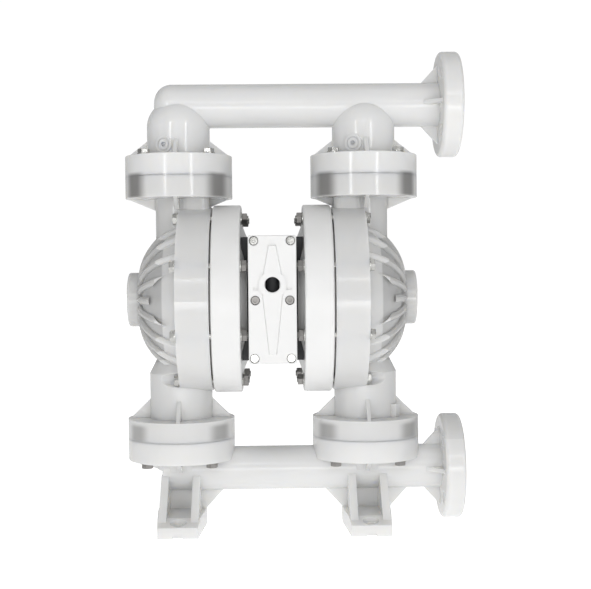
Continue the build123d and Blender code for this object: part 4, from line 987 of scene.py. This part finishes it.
@dataclass
class AirValve(SubAssembly):
    """White air valve with its spool, its cap screws and the thread of its inlet."""

    nodes: tuple[str, ...] = ("air_valve_body", "air_valve_gasket", "air_valve_spool", "air_valve_end_cap",
                              "end_cap_retaining_ring", "air_valve_screws")
    centre_z: float = 0.359
    head_y: float = -0.1415
    corner_span: tuple[float, float] = (0.054, 0.173)
    middle_span: float = 0.0508
    middle_z: float = 0.358
    screw_length: float = 0.0705
    inlet_y: float = -0.150
    inlet_z: float = 0.381
    inlet_r: float = 0.0121
    crest: float = 0.0007
    turns: int = 10

    def build(self, maker: PieceMaker, trees: FastenerTrees) -> None:
        """Makes the cap screws and the inlet's thread.

        Args:
            maker: makes plain pieces.
            trees: the trees of repeated details.
        """
        front = Way.FRONT.turn()
        corners = maker.bake(
            "corner_cap_screws", trees.cap_screw,
            {"Span X": self.corner_span[0], "Span Y": self.corner_span[1], "Length": self.screw_length},
            Slot.STAINLESS, Matrix.Translation((0, self.head_y, self.centre_z)) @ front)
        # The middle screws take the dark steel finish as painted shade for their deep pockets; the corner screws
        # stay stainless.
        middle = maker.bake(
            "middle_cap_screws", trees.cap_screw_pair,
            {"Span X": self.middle_span, "Length": self.screw_length},
            Slot.INSERT, Matrix.Translation((0, self.head_y, self.middle_z)) @ front)
        maker.settle(corners, nodes=["air_valve_screws"])
        maker.settle(middle)
        thread = maker.bake(
            "inlet_thread", trees.thread_rings,
            {"Radius": self.inlet_r, "Crest": self.crest, "Turns": self.turns}, Slot.WHITE,
            Matrix.Translation((0, self.inlet_y, self.inlet_z)) @ front)
        maker.settle(thread)


@dataclass
class Exhaust(SubAssembly):
    """Rear plate with its screws, and the muffler with slats in its grooves."""

    nodes: tuple[str, ...] = ("exhaust_gasket", "exhaust_plate", "exhaust_plate_screws", "muffler")
    plate_y: float = 0.101
    plate_z: float = 0.320
    bolt_span: tuple[float, float] = (0.054, 0.100)
    head_af: float = 0.013
    head: float = 0.005
    shank: float = 0.004
    screw_length: float = 0.038
    thread: float = 0.022
    muffler_z: float = 0.297
    first_row_y: float = 0.12092
    row_pitch: float = 0.012833
    rows: int = 6
    slats: int = 40
    slat: tuple[float, float, float] = (0.0030, 0.0022, 0.0059)
    slat_r: float = 0.0316

    def build(self, maker: PieceMaker, trees: FastenerTrees) -> None:
        """Makes the plate's screws and the muffler's slats.

        Args:
            maker: makes plain pieces.
            trees: the trees of repeated details.
        """
        back = Way.BACK.turn()
        screws = maker.bake(
            "plate_hex_screws", trees.plate_bolt,
            {"Span X": self.bolt_span[0], "Span Y": self.bolt_span[1], "Width": self.head_af,
             "Height": self.head, "Shank": self.shank, "Length": self.screw_length, "Thread": self.thread},
            Slot.STAINLESS, Matrix.Translation((0, self.plate_y, self.plate_z)) @ back)
        maker.settle(screws, nodes=["exhaust_plate_screws"])
        slats = maker.bake(
            "muffler_slats", trees.slats,
            {"Count": self.slats, "Radius": self.slat_r, "Slat": self.slat, "Rows": self.rows,
             "Pitch": self.row_pitch},
            Slot.MUFFLER, Matrix.Translation((0, self.first_row_y, self.muffler_z)) @ back)
        maker.settle(slats)


@dataclass
class RimFasteners(SubAssembly):
    """Bolts, washers and nuts round both diaphragms."""

    nodes: tuple[str, ...] = both_sides("rim_bolts", "rim_washers", "rim_nuts")
    circle: float = 0.1345
    count: int = 8
    start: float = math.radians(22.5)
    head_x: float = 0.144
    nut_seat_x: float = 0.048
    washer_thick: float = 0.002
    washer_r: float = 0.010
    width: float = 0.016
    head: float = 0.0064
    nut: float = 0.008
    shank: float = 0.005
    thread: float = 0.032
    past_nut: float = 0.0015

    def build(self, maker: PieceMaker, trees: FastenerTrees) -> None:
        """Makes and seats them on both sides.

        Args:
            maker: makes plain pieces.
            trees: the fastener trees.
        """
        ring = {"Count": self.count, "Circle": self.circle, "Start": self.start}
        for side, sign, outward, inward in (("right", 1, Way.RIGHT, Way.LEFT), ("left", -1, Way.LEFT, Way.RIGHT)):
            def at(x: float, way: Way) -> Matrix:
                """Place of a ring at one distance from the middle."""
                return Matrix.Translation((sign * x, 0, SHAFT_Z)) @ way.turn()

            length = self.head_x - self.nut_seat_x + self.nut + 2 * self.washer_thick + self.past_nut
            bolts = maker.bake(
                f"rim_hex_bolts_{side}", trees.bolt,
                {**ring, "Width": self.width, "Height": self.head, "Shank": self.shank,
                 "Length": length, "Thread": self.thread},
                Slot.STAINLESS, at(self.head_x + self.washer_thick, outward))
            maker.settle(bolts, nodes=[f"rim_bolts_{side}"])
            washers = [
                maker.bake(f"rim_flat_washers_{side}_{k}", trees.washer,
                           {**ring, "Radius": self.washer_r, "Thick": self.washer_thick}, Slot.STAINLESS, at(x, way))
                for k, (x, way) in enumerate(((self.head_x, outward), (self.nut_seat_x, inward)))]
            joined = join_pieces(f"rim_flat_washers_{side}", washers)
            maker.settle(joined, nodes=[f"rim_washers_{side}"])
            nuts = maker.bake(f"rim_hex_nuts_{side}", trees.nut,
                              {**ring, "Width": self.width, "Height": self.nut}, Slot.INSERT,
                              at(self.nut_seat_x - self.washer_thick, inward))
            maker.settle(nuts, nodes=[f"rim_nuts_{side}"])


@dataclass
class FlangeFasteners(SubAssembly):
    """Bolts and washers of the four valve flanges."""

    nodes: tuple[str, ...] = ("discharge_flange_bolts", "discharge_flange_washers",
                              "suction_flange_bolts", "suction_flange_washers")
    count: int = 4
    circle: float = 0.0705
    start: float = math.radians(45)
    upper_seat_z: float = 0.582
    lower_seat_z: float = 0.1055
    washer_thick: float = 0.002
    washer_r: float = 0.01
    width: float = 0.016
    head: float = 0.0064
    shank: float = 0.005
    length: float = 0.058
    thread: float = 0.03

    def build(self, maker: PieceMaker, trees: FastenerTrees) -> None:
        """Makes and seats them on top and below.

        Args:
            maker: makes plain pieces.
            trees: the fastener trees.
        """
        ring = {"Count": self.count, "Circle": self.circle, "Start": self.start}
        bolt = {**ring, "Width": self.width, "Height": self.head, "Shank": self.shank,
                "Length": self.length, "Thread": self.thread}
        washer = {**ring, "Radius": self.washer_r, "Thick": self.washer_thick}
        # The suction bolts and washers under the lower flanges take the dark steel finish as painted shade; the
        # discharge ones on top stay stainless.
        for place, z, way, sign, slot in (("discharge", self.upper_seat_z, Way.UP, 1, Slot.STAINLESS),
                                          ("suction", self.lower_seat_z, Way.DOWN, -1, Slot.INSERT)):
            heads, flats = [], []
            for k, x in enumerate((-STACK_X, STACK_X)):
                under_head, seat = (Matrix.Translation((x, 0, at)) @ way.turn()
                                    for at in (z + sign * self.washer_thick, z))
                heads.append(maker.bake(f"{place}_heads_{k}", trees.bolt, bolt, slot, under_head))
                flats.append(maker.bake(f"{place}_flats_{k}", trees.washer, washer, slot, seat))
            maker.settle(join_pieces(f"{place}_hex_bolts", heads), nodes=[f"{place}_flange_bolts"])
            maker.settle(join_pieces(f"{place}_flat_washers", flats), nodes=[f"{place}_flange_washers"])


@dataclass(frozen=True)
class SoftBox:
    """A rectangular lamp that faces the pump."""

    name: str
    place: tuple[float, float, float]
    size: tuple[float, float]
    power: float

    def build(self, aim_z: float) -> None:
        """Makes the lamp and aims it at the pump.

        Args:
            aim_z: highest point that it aims at; a lamp below that is level.
        """
        data = bpy.data.lights.new(self.name, "AREA")
        data.shape = "RECTANGLE"
        data.size, data.size_y = self.size
        data.energy = self.power
        light = bpy.data.objects.new(self.name, data)
        bpy.context.scene.collection.objects.link(light)
        light.location = self.place
        aim = Vector((0, 0, min(self.place[2], aim_z))) - Vector(self.place)
        light.rotation_euler = aim.to_track_quat("-Z", "Y").to_euler()


# Two tall strips and two bars in front, and a large lamp on top.
SOFT_BOXES = (
    SoftBox("left_strip", (-1.12, -2.1, 1.00), (0.09, 1.0), 4.8),
    SoftBox("right_strip", (1.10, -2.1, 1.00), (0.09, 1.0), 4.8),
    SoftBox("front_strip", (0.0, -2.3, 1.35), (1.5, 0.12), 3.2),
    SoftBox("low_box", (0.0, -2.2, 0.14), (2.2, 0.22), 7.6),
    SoftBox("top_box", (0.0, -0.6, 2.4), (2.4, 1.0), 2.4),
)


@dataclass
class Studio:
    """Pale floor, soft lights and the camera."""

    distance: float = 1.873
    eye_z: float = 0.411
    yaw: float = -1.117
    pitch: float = -1.48
    roll: float = -0.55
    lens: float = 71.88
    room_light: float = 0.50
    side_light: float = 0.20
    backdrop: float = 1.02
    floor_glow: float = 0.44
    floor_seen: float = 0.80
    floor_size: float = 30.0
    floor_drop: float = 0.0004
    aim_z: float = 0.36

    def build(self) -> None:
        """Makes the floor, the room, the lights and the camera."""
        self._floor()
        self._room()
        for box in SOFT_BOXES:
            box.build(self.aim_z)
        self._camera()

    def _floor(self) -> None:
        """Large pale floor, whiter to the camera than the light that it gives."""
        bpy.ops.mesh.primitive_plane_add(size=self.floor_size, location=(0, 0, -self.floor_drop))
        floor = bpy.context.object
        floor.name = "floor"
        material = bpy.data.materials.new("pale_floor")
        material.use_nodes = True
        shader = material.node_tree.nodes["Principled BSDF"]
        g = Graph(material.node_tree)
        for name, value in (("Base Color", (0.93, 0.93, 0.93, 1)), ("Roughness", 0.9),
                            ("Specular IOR Level", 0.1), ("Emission Color", (1, 1, 1, 1))):
            g.feed(shader.inputs[name], value)
        seen = g.add("ShaderNodeLightPath").outputs["Is Camera Ray"]
        extra = g.times(seen, self.floor_seen - self.floor_glow)
        g.join(g.plus(extra, self.floor_glow), shader.inputs["Emission Strength"])
        floor.data.materials.append(material)

    def _room(self) -> None:
        """White room: plain white behind the pump, softer light all round, dimmer to the sides."""
        world = bpy.data.worlds.new("white_room")
        world.use_nodes = True
        g = Graph(world.node_tree)
        backdrop = world.node_tree.nodes["Background"]
        backdrop.inputs[0].default_value = (1, 1, 1, 1)
        sideways = g.parts(g.add("ShaderNodeTexCoord").outputs["Generated"])[0]
        light = g.ramp(g.math("ABSOLUTE", sideways), 0.25, 0.95, self.room_light, self.side_light)
        seen = g.add("ShaderNodeLightPath").outputs["Is Camera Ray"]
        extra = g.times(seen, g.minus(self.backdrop, light))
        g.join(g.plus(light, extra), backdrop.inputs[1])
        bpy.context.scene.world = world

    def _camera(self) -> None:
        """Camera at the front, a little above the middle of the pump's height."""
        data = bpy.data.cameras.new("camera")
        data.lens = self.lens
        data.sensor_width = 36.0
        data.clip_end = 60.0
        camera = bpy.data.objects.new("camera", data)
        bpy.context.scene.collection.objects.link(camera)
        level = Euler((math.radians(90), 0, 0)).to_matrix()
        turn = (Matrix.Rotation(math.radians(self.yaw), 3, "Z") @ level
                @ Matrix.Rotation(math.radians(self.pitch), 3, "X")
                @ Matrix.Rotation(math.radians(self.roll), 3, "Z"))
        camera.matrix_world = Matrix.Translation((0, -self.distance, self.eye_z)) @ turn.to_4x4()
        bpy.context.scene.camera = camera


def set_display() -> None:
    """Plain display transform, so that whites stay white."""
    scene = bpy.context.scene
    scene.view_settings.view_transform = "Standard"
    scene.view_settings.look = "None"
    scene.view_settings.exposure = 0.0


def main() -> None:
    """Dresses the frame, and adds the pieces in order."""
    logging.basicConfig(level=logging.INFO, format="%(name)s: %(message)s")
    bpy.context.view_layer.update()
    set_display()
    wardrobe = Wardrobe()
    maker = PieceMaker(wardrobe)
    trees = FastenerTrees()
    for part in (Manifolds(), LiquidEnds(), BallValves(), DiaphragmGroup(), AirChambers(), CentreSection(),
                 AirValve(), Exhaust(), RimFasteners(), FlangeFasteners()):
        part.dress(wardrobe)
        part.build(maker, trees)
    LOG.info("nodes left undressed: %s", sorted(set(frame["nodes"]) - wardrobe.dressed) or "none")
    Studio().build()
    LOG.info("%d pieces made", maker.made)


if __name__ == "__main__":
    main()
